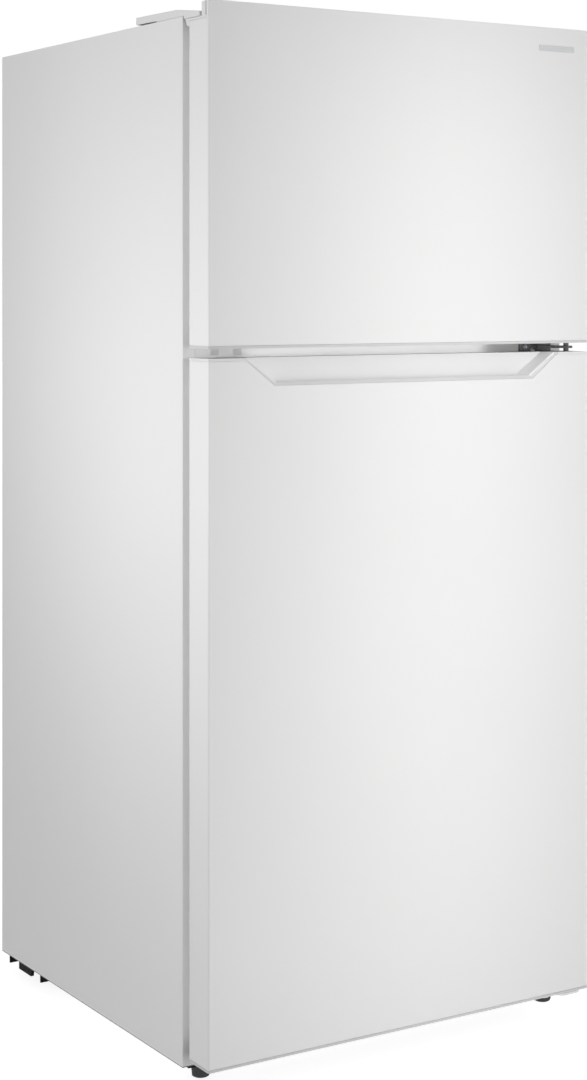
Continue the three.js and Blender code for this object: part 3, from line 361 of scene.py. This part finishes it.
def dress(name, material, width):
    """Finish a CAD node. Its flat faces are merged and split again, so that soft edges run even."""
    obj = NODES[name]
    if "custom_normal" in obj.data.attributes:
        obj.data.attributes.remove(obj.data.attributes["custom_normal"])
    obj.data.materials.clear()
    obj.data.materials.append(material)
    weld = obj.modifiers.new("weld", "WELD")
    weld.merge_threshold = WELD_REACH
    flat = obj.modifiers.new("flat_faces", "DECIMATE")
    flat.decimate_type = "DISSOLVE"
    flat.angle_limit = math.radians(FLAT_ANGLE)
    split = obj.modifiers.new("split_faces", "TRIANGULATE")
    split.min_vertices = 5
    split.ngon_method = "CLIP" if name in CLIPPED else "BEAUTY"
    if width:
        obj.data.shade_smooth()
        soften(obj, width, 2)
    else:
        obj.data.shade_flat()


# Finish, width of the soft edges in mm, and the nodes that have them.
DRESSED = [
    # The outer case's enamel has a painted shade, a dark strip along its bottom edge.
    (CASE_ENAMEL_WITH_SHADE, 0.5, ["outer_case"]),
    (ENAMEL, 0.5, ["freezer_door_skin", "fridge_door_skin", "mullion_rail"]),
    (RAIL_ENAMEL, 0.4, ["base_rail"]),
    (PLASTIC, 0.8, ["hinge_cover_left", "hinge_cover_right"]),
    (PLASTIC, 0.8, ["fridge_door_top_cap", "freezer_door_top_cap"]),
    # The bottom caps are painted shade: a darker grey for the dark line under each door.
    (TRIM_AND_SHADE_LINE, 0.5, ["freezer_door_bottom_cap", "fridge_door_bottom_cap"]),
    (TRIM_AND_SHADE_LINE, 0.4, ["mullion_plug_inner", "mullion_plug_outer"]),
    (PLASTIC, 0.4, ["humidity_slider_left", "humidity_slider_right"]),
    (MOULDING, 2.2, ["freezer_door_liner", "fridge_door_liner"]),
    (MOULDING, 1.0, ["evaporator_cover", "air_duct", "control_housing"]),
    (GALVANISED, 0.3, ["base_plate", "back_panel", "compressor_cover"]),
    # The middle hinge takes the darkened steel: painted shade of the crack between the doors.
    (HINGE_STEEL_PAINTED_SHADE, 0.5, ["middle_hinge"]),
    (STEEL, 0.5, ["top_hinge", "bottom_hinge"]),
    (BLACK, 0.6, ["compressor_base", "compressor", "condenser_coil", "foot_bracket_left"]),
    (DARK, 1.0, ["drain_pan", "roller_left", "roller_right", "evaporator_fan"]),
    (BLACK_RUBBER, 0.8, ["cord_gland"]),
    (ALUMINIUM, 0.3, ["evaporator"]),
    (FOAM, 0.0, ["insulation", "freezer_door_core", "fridge_door_core"]),
    (BADGE, 0.15, ["nameplate"]),
]


def dress_all():
    for material, width, names in DRESSED:
        for name in names:
            dress(name, material, width * MM)


# ---------- moulded liners ----------
FREEZER_HALF = 0.3145
FREEZER_FLOOR = 1.187
FREEZER_CEILING = 1.606
FRIDGE_HALF = 0.3245
FRIDGE_FLOOR = 0.112
FRIDGE_CEILING = 1.092
# The step in the fresh food floor, over the machine compartment.
STEP_FRONT = 0.14
STEP_TOP = 0.314
LINER_BACK = 0.316
LINER_SHEET = 1.6 * MM
LINER_ROUND = 14 * MM
# How far the uncut shape reaches ahead of the cabinet front.
AHEAD = 60 * MM
TINY = 1e-6


def liner(name, profile, half, ledges):
    """The inside of a compartment with rounded corners. profile is its side outline in (y, z)."""
    (left_edge, right_edge), _, (low, high) = spans(name)
    front = CASE_FRONT - AHEAD
    outline = [(front if abs(y - CASE_FRONT) < TINY else y, z) for y, z in profile]
    bm = bmesh.new()
    left = [bm.verts.new((-half, y, z)) for y, z in outline]
    right = [bm.verts.new((half, y, z)) for y, z in outline]
    bm.faces.new(left)
    bm.faces.new(list(reversed(right)))
    for i in range(len(outline)):
        k = (i + 1) % len(outline)
        bm.faces.new((left[k], left[i], right[i], right[k]))
    bmesh.ops.recalc_face_normals(bm, faces=bm.faces)
    inner_edges = [e for e in bm.edges if any(v.co.y > front + TINY for v in e.verts)]
    bmesh.ops.bevel(bm, geom=inner_edges, offset=LINER_ROUND, segments=6, profile=0.5,
                    affect="EDGES", clamp_overlap=True)
    everything = bm.verts[:] + bm.edges[:] + bm.faces[:]
    cut = bmesh.ops.bisect_plane(bm, geom=everything, plane_co=(0, CASE_FRONT, 0),
                                 plane_no=(0, -1, 0), clear_outer=True)
    opening = [g for g in cut["geom_cut"] if isinstance(g, bmesh.types.BMEdge)]
    corners = ((left_edge, low), (right_edge, low), (right_edge, high), (left_edge, high))
    rim = [bm.verts.new((x, CASE_FRONT, z)) for x, z in corners]
    rim_edges = [bm.edges.new((rim[i], rim[(i + 1) % 4])) for i in range(4)]
    bmesh.ops.triangle_fill(bm, edges=opening + rim_edges, use_beauty=True, use_dissolve=False)
    bmesh.ops.recalc_face_normals(bm, faces=bm.faces)
    back_face = max(bm.faces, key=lambda f: f.calc_center_median().y)
    if back_face.normal.y > 0:
        bmesh.ops.reverse_faces(bm, faces=bm.faces)
    data = bpy.data.meshes.new(name + "_moulded")
    bm.to_mesh(data)
    bm.free()
    data.materials.append(MOULDING)
    data.shade_smooth()
    obj = bpy.data.objects.new(name + "_moulded", data)
    bpy.context.scene.collection.objects.link(obj)
    thick = obj.modifiers.new("sheet", "SOLIDIFY")
    thick.thickness = LINER_SHEET
    thick.offset = -1
    soften(obj, 1.5 * MM, 3, 40)
    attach(obj, "cabinet")
    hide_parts(name)
    liner_ledges(name, half, ledges)


LEDGE_WIDE = 8 * MM
LEDGE_THICK = 6 * MM
LEDGE_BURIED = 0.5 * MM


def liner_ledges(name, half, ledges):
    """Rails along both side walls, each (front, back, top)."""
    parts = []
    for y0, y1, top in ledges:
        for side in (-1, 1):
            x0, x1 = sorted((side * (half + LEDGE_BURIED), side * (half - LEDGE_WIDE)))
            parts.append(box_mesh(x0, x1, y0, y1, top - LEDGE_THICK, top))
    ledge = piece(name + "_ledges", *join_parts(parts), MOULDING, "cabinet", "white_moulding")
    soften(ledge, 1.8 * MM, 3)


COVER_PANE = 6 * MM
LEDGE_FRONT = -0.19
FREEZER_LEDGE_BACK = 0.23
FRIDGE_LEDGE_BACK = 0.135


def liners():
    freezer = [(CASE_FRONT, FREEZER_FLOOR), (LINER_BACK, FREEZER_FLOOR),
               (LINER_BACK, FREEZER_CEILING), (CASE_FRONT, FREEZER_CEILING)]
    shelf_low = spans("freezer_shelf")[2][0]
    ledges = [(LEDGE_FRONT, FREEZER_LEDGE_BACK, shelf_low - GAP)]
    liner("freezer_liner", freezer, FREEZER_HALF, ledges)
    fridge = [(CASE_FRONT, FRIDGE_FLOOR), (STEP_FRONT, FRIDGE_FLOOR), (STEP_FRONT, STEP_TOP),
              (LINER_BACK, STEP_TOP), (LINER_BACK, FRIDGE_CEILING), (CASE_FRONT, FRIDGE_CEILING)]
    resting = [spans("crisper_cover")[2][1] - COVER_PANE, spans("fridge_shelf_lower")[2][0],
               spans("fridge_shelf_upper")[2][0]]
    ledges = [(LEDGE_FRONT, FRIDGE_LEDGE_BACK, z - GAP) for z in resting]
    liner("fridge_liner", fridge, FRIDGE_HALF, ledges)


# ---------- gaskets ----------
# The section of the seal in mm: in from its outer edge, and out from the door.
GASKET_PROFILE = [
    (3.2, 0), (2.2, 1.2), (2.2, 2.6), (5.2, 4.4), (5.2, 5.2), (2.6, 6.9), (2.6, 7.7), (5.0, 9.4),
    (5.0, 10.2), (0.8, 11.6), (0.2, 12.8), (0.2, 16.2), (1.0, 17.3), (17.3, 17.3), (18.2, 16.2),
    (18.2, 12.8), (17.6, 11.6), (13.4, 10.2), (13.4, 9.4), (15.8, 7.7), (15.8, 6.9), (13.2, 5.2),
    (13.2, 4.4), (16.2, 2.6), (16.2, 1.2), (15.2, 0),
]


def gasket(node_name, body):
    """A bellows seal with mitred corners, swept round the door."""
    (x0, x1), (y0, _), (z0, z1) = spans(node_name)
    rings = []
    for across, along in GASKET_PROFILE:
        d, y = across * MM, y0 + along * MM
        rings.append([(x0 + d, y, z0 + d), (x1 - d, y, z0 + d),
                      (x1 - d, y, z1 - d), (x0 + d, y, z1 - d)])
    obj = piece(node_name + "_bellows", *loft(rings, closed=True), RUBBER, body, "grey_gasket")
    soften(obj, 0.5 * MM, 2, 25)
    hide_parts(node_name)


# ---------- trays, bins and drawers ----------
def tray_mesh(x0, x1, y0, y1, z0, z1, wall, radius, draft, lip):
    """A tray with rounded corners, drafted walls, a rounded foot and a rolled lip, open on top."""
    def ring(inset, z, r):
        return [(x, y, z) for x, y in rounded(x0 + inset, x1 - inset, y0 + inset, y1 - inset, r)]
    base = draft + lip
    lip_round = radius + lip
    outer = [
        ring(base + 6 * MM, z0, radius),
        ring(base + 2 * MM, z0 + 1.5 * MM, radius),
        ring(base, z0 + 6 * MM, radius),
        ring(lip, z1 - 9 * MM, radius),
        ring(0.4 * MM, z1 - 7 * MM, lip_round),
        ring(0, z1 - 5.5 * MM, lip_round),
        ring(0, z1 - 1.2 * MM, lip_round),
        ring(1.2 * MM, z1, lip_round),
    ]
    inner = [
        ring(lip + wall - 0.8 * MM, z1, radius),
        ring(lip + wall, z1 - 1 * MM, radius),
        ring(base + wall, z0 + 7 * MM, radius - 1 * MM),
        ring(base + wall + 2 * MM, z0 + wall + 1.2 * MM, radius - 1 * MM),
        ring(base + wall + 6 * MM, z0 + wall, radius - 2 * MM),
    ]
    return loft(outer + inner)


BIN_RIBS = 4
BIN_RIB_PITCH = 100 * MM
BIN_RIB_WIDE = 1.2 * MM
BIN_BAND_END = 12 * MM


def door_bin(node_name, body):
    """A clear bin with ribs on its floor and a white band across its front."""
    (x0, x1), (y0, y1), (low, high) = spans(node_name)
    parts = [tray_mesh(x0, x1, y0, y1, low, high, 2.4 * MM, 12 * MM, 2 * MM, 1.6 * MM)]
    for k in range(BIN_RIBS):
        x = (k - (BIN_RIBS - 1) / 2) * BIN_RIB_PITCH
        parts.append(box_mesh(x, x + BIN_RIB_WIDE, y0 + 6 * MM, y1 - 6 * MM,
                              low + 2.2 * MM, low + 6 * MM))
    obj = piece(node_name + "_tray", *join_parts(parts), CLEAR, body, "clear_plastic")
    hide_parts(node_name)
    band = box_mesh(x0 + BIN_BAND_END, x1 - BIN_BAND_END, y1 - 2.4 * MM, y1 - 0.2 * MM,
                    high - 24 * MM, high - 12 * MM)
    trim = piece(node_name + "_trim", *band, PLASTIC, body, "white_plastic")
    soften(trim, 0.8 * MM, 2)


CRISPER_GRIP = 12 * MM
CRISPER_LINES = 3
CRISPER_LINE_PITCH = 12 * MM


def crisper(node_name, body):
    """A frosted drawer with a pull along its front and raised lines below it."""
    (x0, x1), (grip_front, y1), (low, high) = spans(node_name)
    y0 = grip_front + CRISPER_GRIP
    tray = tray_mesh(x0, x1, y0, y1, low, high, 2.5 * MM, 14 * MM, 4 * MM, 1.8 * MM)
    obj = piece(node_name + "_tray", *tray, FROSTED, body, "clear_plastic")
    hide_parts(node_name)
    middle = (x0 + x1) / 2
    grip = [(middle - 62 * MM, y0 + 2 * MM), (middle - 58 * MM, y0 - 11 * MM),
            (middle + 58 * MM, y0 - 11 * MM), (middle + 62 * MM, y0 + 2 * MM)]
    rings = [[(x, y, z) for x, y in grip] for z in (high - 38 * MM, high - 28 * MM)]
    handle = piece(node_name + "_handle", *loft(rings), PLASTIC, body, "white_plastic")
    soften(handle, 2.2 * MM, 3)
    lines = []
    for k in range(CRISPER_LINES):
        z = high - 150 * MM + k * CRISPER_LINE_PITCH
        lines.append(box_mesh(x0 + 30 * MM, x1 - 30 * MM, y0 + 1.2 * MM, y0 + 2.6 * MM,
                              z, z + 3 * MM))
    ribs = piece(node_name + "_ribs", *join_parts(lines), FROSTED, body, "clear_plastic")
    soften(ribs, 0.8 * MM, 2)


# ---------- shelves ----------
FRAME_CORNER = 8 * MM


def frame_ring(x0, x1, y0, y1, z0, z1, rim):
    """A flat frame with rounded corners."""
    outer = rounded(x0, x1, y0, y1, FRAME_CORNER)
    inner = rounded(x0 + rim, x1 - rim, y0 + rim, y1 - rim, FRAME_CORNER)
    rings = [[(x, y, z0) for x, y in outer], [(x, y, z1) for x, y in outer],
             [(x, y, z1) for x, y in inner], [(x, y, z0) for x, y in inner]]
    return loft(rings, closed=True)


def glass_shelf(node_name):
    """A pane let into a white frame."""
    (x0, x1), (y0, y1), (z0, z1) = spans(node_name)
    ring = frame_ring(x0, x1, y0, y1, z0, z1, 16 * MM)
    rim = piece(node_name + "_frame", *ring, PLASTIC, "cabinet", "white_plastic")
    soften(rim, 1.6 * MM, 3)
    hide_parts(node_name)
    edge = 13.5 * MM
    glass = box_mesh(x0 + edge, x1 - edge, y0 + edge, y1 - edge, z0 + 5.5 * MM, z0 + 9.5 * MM)
    pane = piece(node_name + "_glass", *glass, GLASS, "cabinet", "shelf_glass")
    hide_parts(node_name)
    soften(pane, 0.4 * MM, 2)


# Both ends of the slot that a humidity slider runs in, from the middle.
SLOT_NEAR = 133 * MM
SLOT_FAR = 187 * MM


def crisper_cover():
    """The pane over the drawers, and the slotted beam in front of it."""
    (x0, x1), (y0, y1), (low, top) = spans("crisper_cover")
    z = top - COVER_PANE
    left, right = x0 + 9.5 * MM, x1 - 9.5 * MM
    slot_low, slot_high = low + 6 * MM, low + 12 * MM
    bars = [(left, right, low + 11.5 * MM, low + 16 * MM), (left, right, low, low + 6.7 * MM),
            (-SLOT_NEAR, SLOT_NEAR, slot_low, slot_high), (left, -SLOT_FAR, slot_low, slot_high),
            (SLOT_FAR, right, slot_low, slot_high)]
    parts = [box_mesh(a, b, y0, y0 + 9.6 * MM, c, d) for a, b, c, d in bars]
    beam = piece("crisper_cover_beam", *join_parts(parts), PLASTIC, "cabinet", "white_plastic")
    soften(beam, 0.8 * MM, 2)
    ring = frame_ring(x0, x1, y0, y1, z, top, 18 * MM)
    rim = piece("crisper_cover_frame", *ring, PLASTIC, "cabinet", "white_plastic")
    soften(rim, 1.2 * MM, 3)
    edge = 15.5 * MM
    glass = box_mesh(x0 + edge, x1 - edge, y0 + edge, y1 - edge, z + 1 * MM, z + 5 * MM)
    pane = piece("crisper_cover_glass", *glass, GLASS, "cabinet", "shelf_glass")
    soften(pane, 0.4 * MM, 2)
    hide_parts("crisper_cover")
    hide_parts("crisper_cover")
    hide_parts("crisper_cover")


WIRES = 25
WIRE_RADIUS = 1.3 * MM
ROD_RADIUS = 1.9 * MM
CROSS_RODS = (-0.1, 0.02, 0.14)


def wire_shelf():
    """Thin wires, bent down at the front, on a thicker loop and cross rods."""
    (x0, x1), (y0, y1), (low, _) = spans("freezer_shelf")
    left, right = x0 + 1 * MM, x1 - 1 * MM
    front, back = y0 + 2 * MM, y1 - 2 * MM
    z = low + 5 * MM
    rod_z = z - 3 * MM
    first, last = left + 4 * MM, right - 4 * MM
    parts = []
    for k in range(WIRES):
        x = first + (last - first) * k / (WIRES - 1)
        path = bent([(x, back, z), (x, front, z), (x, front, z - 3.5 * MM)], 2.4 * MM, 4)
        parts.append(tube(path, WIRE_RADIUS, 8))
    start = (left + 20 * MM, back, rod_z)
    loop = [start, (left, back, rod_z), (left, front, rod_z), (right, front, rod_z),
            (right, back, rod_z), start]
    parts.append(tube(bent(loop, 8 * MM), ROD_RADIUS, 10))
    for y in CROSS_RODS:
        parts.append(tube([(left, y, rod_z), (right, y, rod_z)], ROD_RADIUS, 10))
    obj = piece("freezer_shelf_wires", *join_parts(parts), PLASTIC, "cabinet", "white_enamel")
    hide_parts("freezer_shelf")


# ---------- controls and lamp ----------
RIB_DEPTH = 0.8 * MM
SCALE_DOTS = 7


def dial_place(node_name, panel):
    """The middle of a knob on the front of its panel, and the knob's radius."""
    (x0, x1), _, (z0, z1) = spans(node_name)
    face = spans(panel)[1][0]
    return (x0 + x1) / 2, face, (z0 + z1) / 2, (x1 - x0) / 2


def knob(node_name, body, panel):
    """A ribbed dial with a bar to turn it by and a printed pointer."""
    x, face, z, radius = dial_place(node_name, panel)
    profile = [(0.2 * MM, -0.3 * MM), (radius * 0.96, -0.3 * MM), (radius, -1 * MM),
               (radius, -6 * MM), (radius * 0.93, -8 * MM), (radius * 0.5, -8.4 * MM),
               (0.2 * MM, -8.4 * MM)]
    disc = turned(profile, (x, face, z), "Y", 72, 24, RIB_DEPTH, range(1, 4))
    grip = box_mesh(x - 3.6 * MM, x + 3.6 * MM, face - 18 * MM, face - 7 * MM,
                    z - radius + 2.2 * MM, z + radius - 2.2 * MM)
    obj = piece(node_name + "_dial", *join_parts([disc, grip]), PLASTIC, body, "white_plastic")
    soften(obj, 1.0 * MM, 3, 35)
    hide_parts(node_name)
    line = box_mesh(x - 0.7 * MM, x + 0.7 * MM, face - 18.2 * MM, face - 17.2 * MM,
                    z + radius * 0.35, z + radius - 3.5 * MM)
    piece(node_name + "_pointer", *line, MARK, body)


def dots(name, node_name, panel, out, reach):
    """A knob's scale: raised dots of growing size round its edge, up to reach degrees each way."""
    x, face, z, radius = dial_place(node_name, panel)
    radius += out
    parts = []
    for k in range(SCALE_DOTS):
        t = k / (SCALE_DOTS - 1)
        angle = math.radians(reach * (2 * t - 1))
        size = (0.8 + 0.8 * t) * MM
        centre = (x + radius * math.sin(angle), face, z + radius * math.cos(angle))
        profile = [(size, 0), (size, -0.4 * MM), (size * 0.6, -0.6 * MM)]
        parts.append(turned(profile, centre, "Y", 14))
    piece(name, *join_parts(parts), MARK, "cabinet")


LAMP_ROWS = 18
LAMP_RIM = 4.5 * MM


def lamp():
    """The lamp's lens: a flanged plate with rows of round ribs under it."""
    (left, right), (near, far), (z, top) = spans("lamp_lens")
    x0, x1 = left + LAMP_RIM, right - LAMP_RIM
    y0, y1 = near + LAMP_RIM, far - LAMP_RIM
    parts = [box_mesh(x0, x1, y0, y1, z + 1.2 * MM, z + 4.5 * MM),
             box_mesh(left, right, near, far, top - 1.7 * MM, top - 0.2 * MM)]
    first, last = y0 + 3 * MM, y1 - 3 * MM
    for k in range(LAMP_ROWS):
        y = first + (last - first) * k / (LAMP_ROWS - 1)
        ends = [(x, y, z + 1.4 * MM) for x in (x0 + 2 * MM, x1 - 2 * MM)]
        parts.append(tube(ends, 1.4 * MM, 8))
    obj = piece("lamp_lens_ribbed", *join_parts(parts), FROSTED, "cabinet", "clear_plastic")
    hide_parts("lamp_lens")


# ---------- feet, screws and machine compartment ----------
THREAD_PITCH = 1.2 * MM


def foot(node_name, body, high):
    """A levelling foot: a ribbed pad of the given height under a threaded stem."""
    (x0, x1), (y0, y1), (_, top) = spans(node_name)
    middle = ((x0 + x1) / 2, (y0 + y1) / 2, 0)
    outline = [(12 * MM, 0), (13.8 * MM, 1.2 * MM), (14.2 * MM, high * 0.3),
               (15.2 * MM, high - 2.5 * MM), (15.2 * MM, high - 1 * MM),
               (13.8 * MM, high - 0.1 * MM), (5 * MM, high)]
    pad = turned(outline, middle, "Z", 96, 24, RIB_DEPTH, range(2, 5))
    thread = [(3.6 * MM, high - 0.5 * MM)]
    z = high + 0.5 * MM
    while z < top - 2 * MM:
        thread += [(3.9 * MM, z), (3.4 * MM, z + THREAD_PITCH / 2)]
        z += THREAD_PITCH
    thread.append((3 * MM, top))
    stem = turned(thread, middle, "Z", 20)
    obj = piece(node_name + "_turned", *join_parts([pad, stem]), DARK, body, "dark_plastic")
    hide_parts(node_name)


def screw_mesh(point, normal, radius):
    """A hexagon screw head on its washer, facing along an axis."""
    axis = max(range(3), key=lambda i: abs(normal[i]))
    sign = 1 if normal[axis] > 0 else -1
    letter = "XYZ"[axis]
    washer = [(radius * 1.35, 0), (radius * 1.35, sign * 0.5 * MM), (radius * 1.2, sign * 0.9 * MM)]
    head = [(radius, 0), (radius, sign * 2.4 * MM), (radius * 0.8, sign * 3 * MM),
            (radius * 0.4, sign * 2.7 * MM)]
    return join_parts([turned(washer, point, letter, 20), turned(head, point, letter, 6)])


def screws(name, points, normal, radius):
    parts = [screw_mesh(p, normal, radius) for p in points]
    obj = piece(name, *join_parts(parts), STEEL, "cabinet", "bright_steel", smooth=False)
    soften(obj, 0.25 * MM, 2, 35)


HINGE_PLATE = 3 * MM
SMALL_HEAD = 3.2 * MM
LARGE_HEAD = 3.6 * MM
TO_FRONT = (0, -1, 0)
TO_BACK = (0, 1, 0)


def all_screws():
    plate = CASE_FRONT - GAP - HINGE_PLATE
    points = [(0.296, plate, 1.139), (0.312, plate, 1.133)]
    screws("middle_hinge_screws", points, TO_FRONT, SMALL_HEAD)
    points = [(x, plate, 0.052) for x in (0.322, 0.357)]
    screws("bottom_hinge_screws", points, TO_FRONT, LARGE_HEAD)
    points = [(side * 0.362, CASE_BACK, 0.3 + 0.26 * k) for side in (-1, 1) for k in range(6)]
    points += [(-0.24 + 0.16 * k, CASE_BACK, 1.652) for k in range(4)]
    screws("back_panel_screws", points, TO_BACK, LARGE_HEAD)
    points = [(x, CASE_BACK, z) for x in (-0.36, 0.0, 0.36) for z in (0.062, 0.26)]
    screws("compressor_cover_screws", points, TO_BACK, LARGE_HEAD)


def cooling_pipes():
    """The compressor's delivery pipe, filling pipe and return pipe, and its relay box."""
    delivery = [(-0.06, 0.283, 0.15), (-0.025, 0.283, 0.15), (-0.025, 0.283, 0.22),
                (0.12, 0.33, 0.22), (0.12, 0.362, 0.25)]
    filling = [(-0.17, 0.31, 0.18), (-0.24, 0.31, 0.18), (-0.24, 0.335, 0.235), (-0.3, 0.35, 0.25)]
    suction = [(0.16, 0.335, 0.24), (0.28, 0.335, 0.2), (0.3, 0.335, 0.13)]
    parts = [tube(bent(delivery, 12 * MM), 3 * MM, 10),
             tube(bent(filling, 14 * MM), 4 * MM, 10),
             tube(bent(suction, 10 * MM), 8 * MM, 14)]
    piece("cooling_pipes", *join_parts(parts), COPPER, "cabinet")
    relay = box_mesh(-0.21, -0.185, 0.25, 0.31, 0.085, 0.15)
    box = piece("compressor_relay_box", *relay, DARK, "cabinet", "dark_plastic")
    soften(box, 3 * MM, 3)


def build_pieces():
    dress_all()
    liners()
    gasket("freezer_door_gasket", "freezer_door")
    gasket("fridge_door_gasket", "fridge_door")
    for place in ("lower", "upper"):
        door_bin("freezer_door_bin_" + place, "freezer_door")
    for place in ("lower", "middle", "upper"):
        door_bin("fridge_door_bin_" + place, "fridge_door")
    crisper("crisper_left", "left_crisper")
    crisper("crisper_right", "right_crisper")
    glass_shelf("fridge_shelf_upper")
    glass_shelf("fridge_shelf_lower")
    crisper_cover()
    wire_shelf()
    knob("freezer_control_knob", "freezer_knob", "evaporator_cover")
    knob("fridge_control_knob", "fridge_knob", "control_housing")
    dots("freezer_knob_scale", "freezer_control_knob", "evaporator_cover", 5.5 * MM, 120)
    dots("fridge_knob_scale", "fridge_control_knob", "control_housing", 3.2 * MM, 105)
    lamp()
    foot("leveling_foot_left", "left_foot", 19 * MM)
    foot("leveling_foot_right", "right_foot", 7 * MM)
    all_screws()
    cooling_pipes()


# ---------- stage, light and camera ----------
FLOOR_HALF = 30


def stage():
    paint = finish("floor_paint", (0.35, 0.35, 0.35), 0.7, tint=0.006, patch=0.8, grain=60,
                   depth=0.05, Emission_Color=(1, 1, 1, 1), Emission_Strength=0.88)
    data = bpy.data.meshes.new("floor")
    corners = ((-1, -1), (1, -1), (1, 1), (-1, 1))
    verts = [(x * FLOOR_HALF, y * FLOOR_HALF, 0) for x, y in corners]
    data.from_pydata(verts, [], [(0, 1, 2, 3)])
    data.materials.append(paint)
    floor = bpy.data.objects.new("floor", data)
    bpy.context.scene.collection.objects.link(floor)
    floor.visible_diffuse = False


# Strength of the sky in its three zones, and the heights on the unit sphere where they meet.
SKY_BAND = 1.01
SKY_TOP = 0.4
SKY_LOW = 0.02
TOP_FADE = (0.2, 0.42)
LOW_FADE = (-0.3, -0.12)


def world():
    """A white horizon all round, fading to dim light overhead and from below."""
    made = bpy.data.worlds.new("studio")
    bpy.context.scene.world = made
    made.use_nodes = True
    tree = made.node_tree
    background = tree.nodes["Background"]
    coord = node(tree, "ShaderNodeTexCoord")
    axes = node(tree, "ShaderNodeSeparateXYZ")
    tree.links.new(coord.outputs["Generated"], axes.inputs["Vector"])
    smaller = node(tree, "ShaderNodeMath", operation="MINIMUM")
    for i, ends in enumerate(((*TOP_FADE, SKY_BAND, SKY_TOP), (*LOW_FADE, SKY_LOW, SKY_BAND))):
        fade = ranged(tree, axes.outputs["Z"], ends, interpolation_type="SMOOTHSTEP")
        tree.links.new(fade, smaller.inputs[i])
    tree.links.new(smaller.outputs["Value"], background.inputs["Strength"])
    background.inputs["Color"].default_value = (1, 1, 1, 1)


def softbox(name, place, target, wide, tall, power, glossy=True, beam=180, body=None):
    """A rectangular light. One that lights the crack behind a shut door is carried by that door."""
    data = bpy.data.lights.new(name, "AREA")
    data.shape = "RECTANGLE"
    data.size = wide
    data.size_y = tall
    data.energy = power
    data.spread = math.radians(beam)
    light = bpy.data.objects.new(name, data)
    light.location = place
    light.rotation_euler = (Vector(target) - Vector(place)).to_track_quat("-Z", "Y").to_euler()
    light.visible_camera = False
    light.visible_glossy = glossy
    if body:
        light.parent = frame["bodies"][body]
    bpy.context.scene.collection.objects.link(light)


def studio_lights():
    softbox("front_strip", (0.03, -0.96, 0.78), (0.26, -0.384, 0.72), 0.23, 1.95, 3.9, glossy=False)
    softbox("front_fill", (1.5, -6.0, 1.2), (0, -0.38, 0.9), 4.0, 3.0, 28)
    softbox("side_strip", (-1.5, -0.22, 0.98), (-0.3745, -1.4, 1.5), 1.09, 0.42, 7.8)


def crack_lights():
    """Faint strips that show the cracks between and behind the shut doors."""
    between = (spans("freezer_door_bottom_cap")[2][0] + spans("fridge_door_top_cap")[2][1]) / 2
    y = DOOR_FRONT + 5.2 * MM
    for name, x, wide, power in (("gap_light", -0.025, 0.47, 0.0191),
                                 ("gap_end_light", -0.31, 0.1, 0.0018)):
        softbox(name, (x, y, between), (x, 0, between), wide, 6 * MM, power,
                glossy=False, beam=40, body="freezer_door")
    x, y, z = -0.37, DOOR_BACK + 2.2 * MM, 0.86
    softbox("edge_light", (x, y, z), (x, 0, z), 4 * MM, 1.58, 0.017,
            glossy=False, body="fridge_door")


CAMERA_PLACE = (-1.9504, -3.1574, 1.2377)
CAMERA_AHEAD = (0.5292, 0.8485, 0)
CAMERA_LENS = 69.87
CAMERA_SHIFT = -0.2319


def camera():
    data = bpy.data.cameras.new("camera")
    data.sensor_width = 36
    data.lens = CAMERA_LENS
    data.shift_y = CAMERA_SHIFT
    data.clip_end = 100
    cam = bpy.data.objects.new("camera", data)
    cam.location = CAMERA_PLACE
    cam.rotation_euler = Vector(CAMERA_AHEAD).to_track_quat("-Z", "Y").to_euler()
    bpy.context.scene.collection.objects.link(cam)
    bpy.context.scene.camera = cam


build_pieces()
stage()
world()
studio_lights()
crack_lights()
camera()
bpy.context.scene.view_settings.view_transform = "Standard"
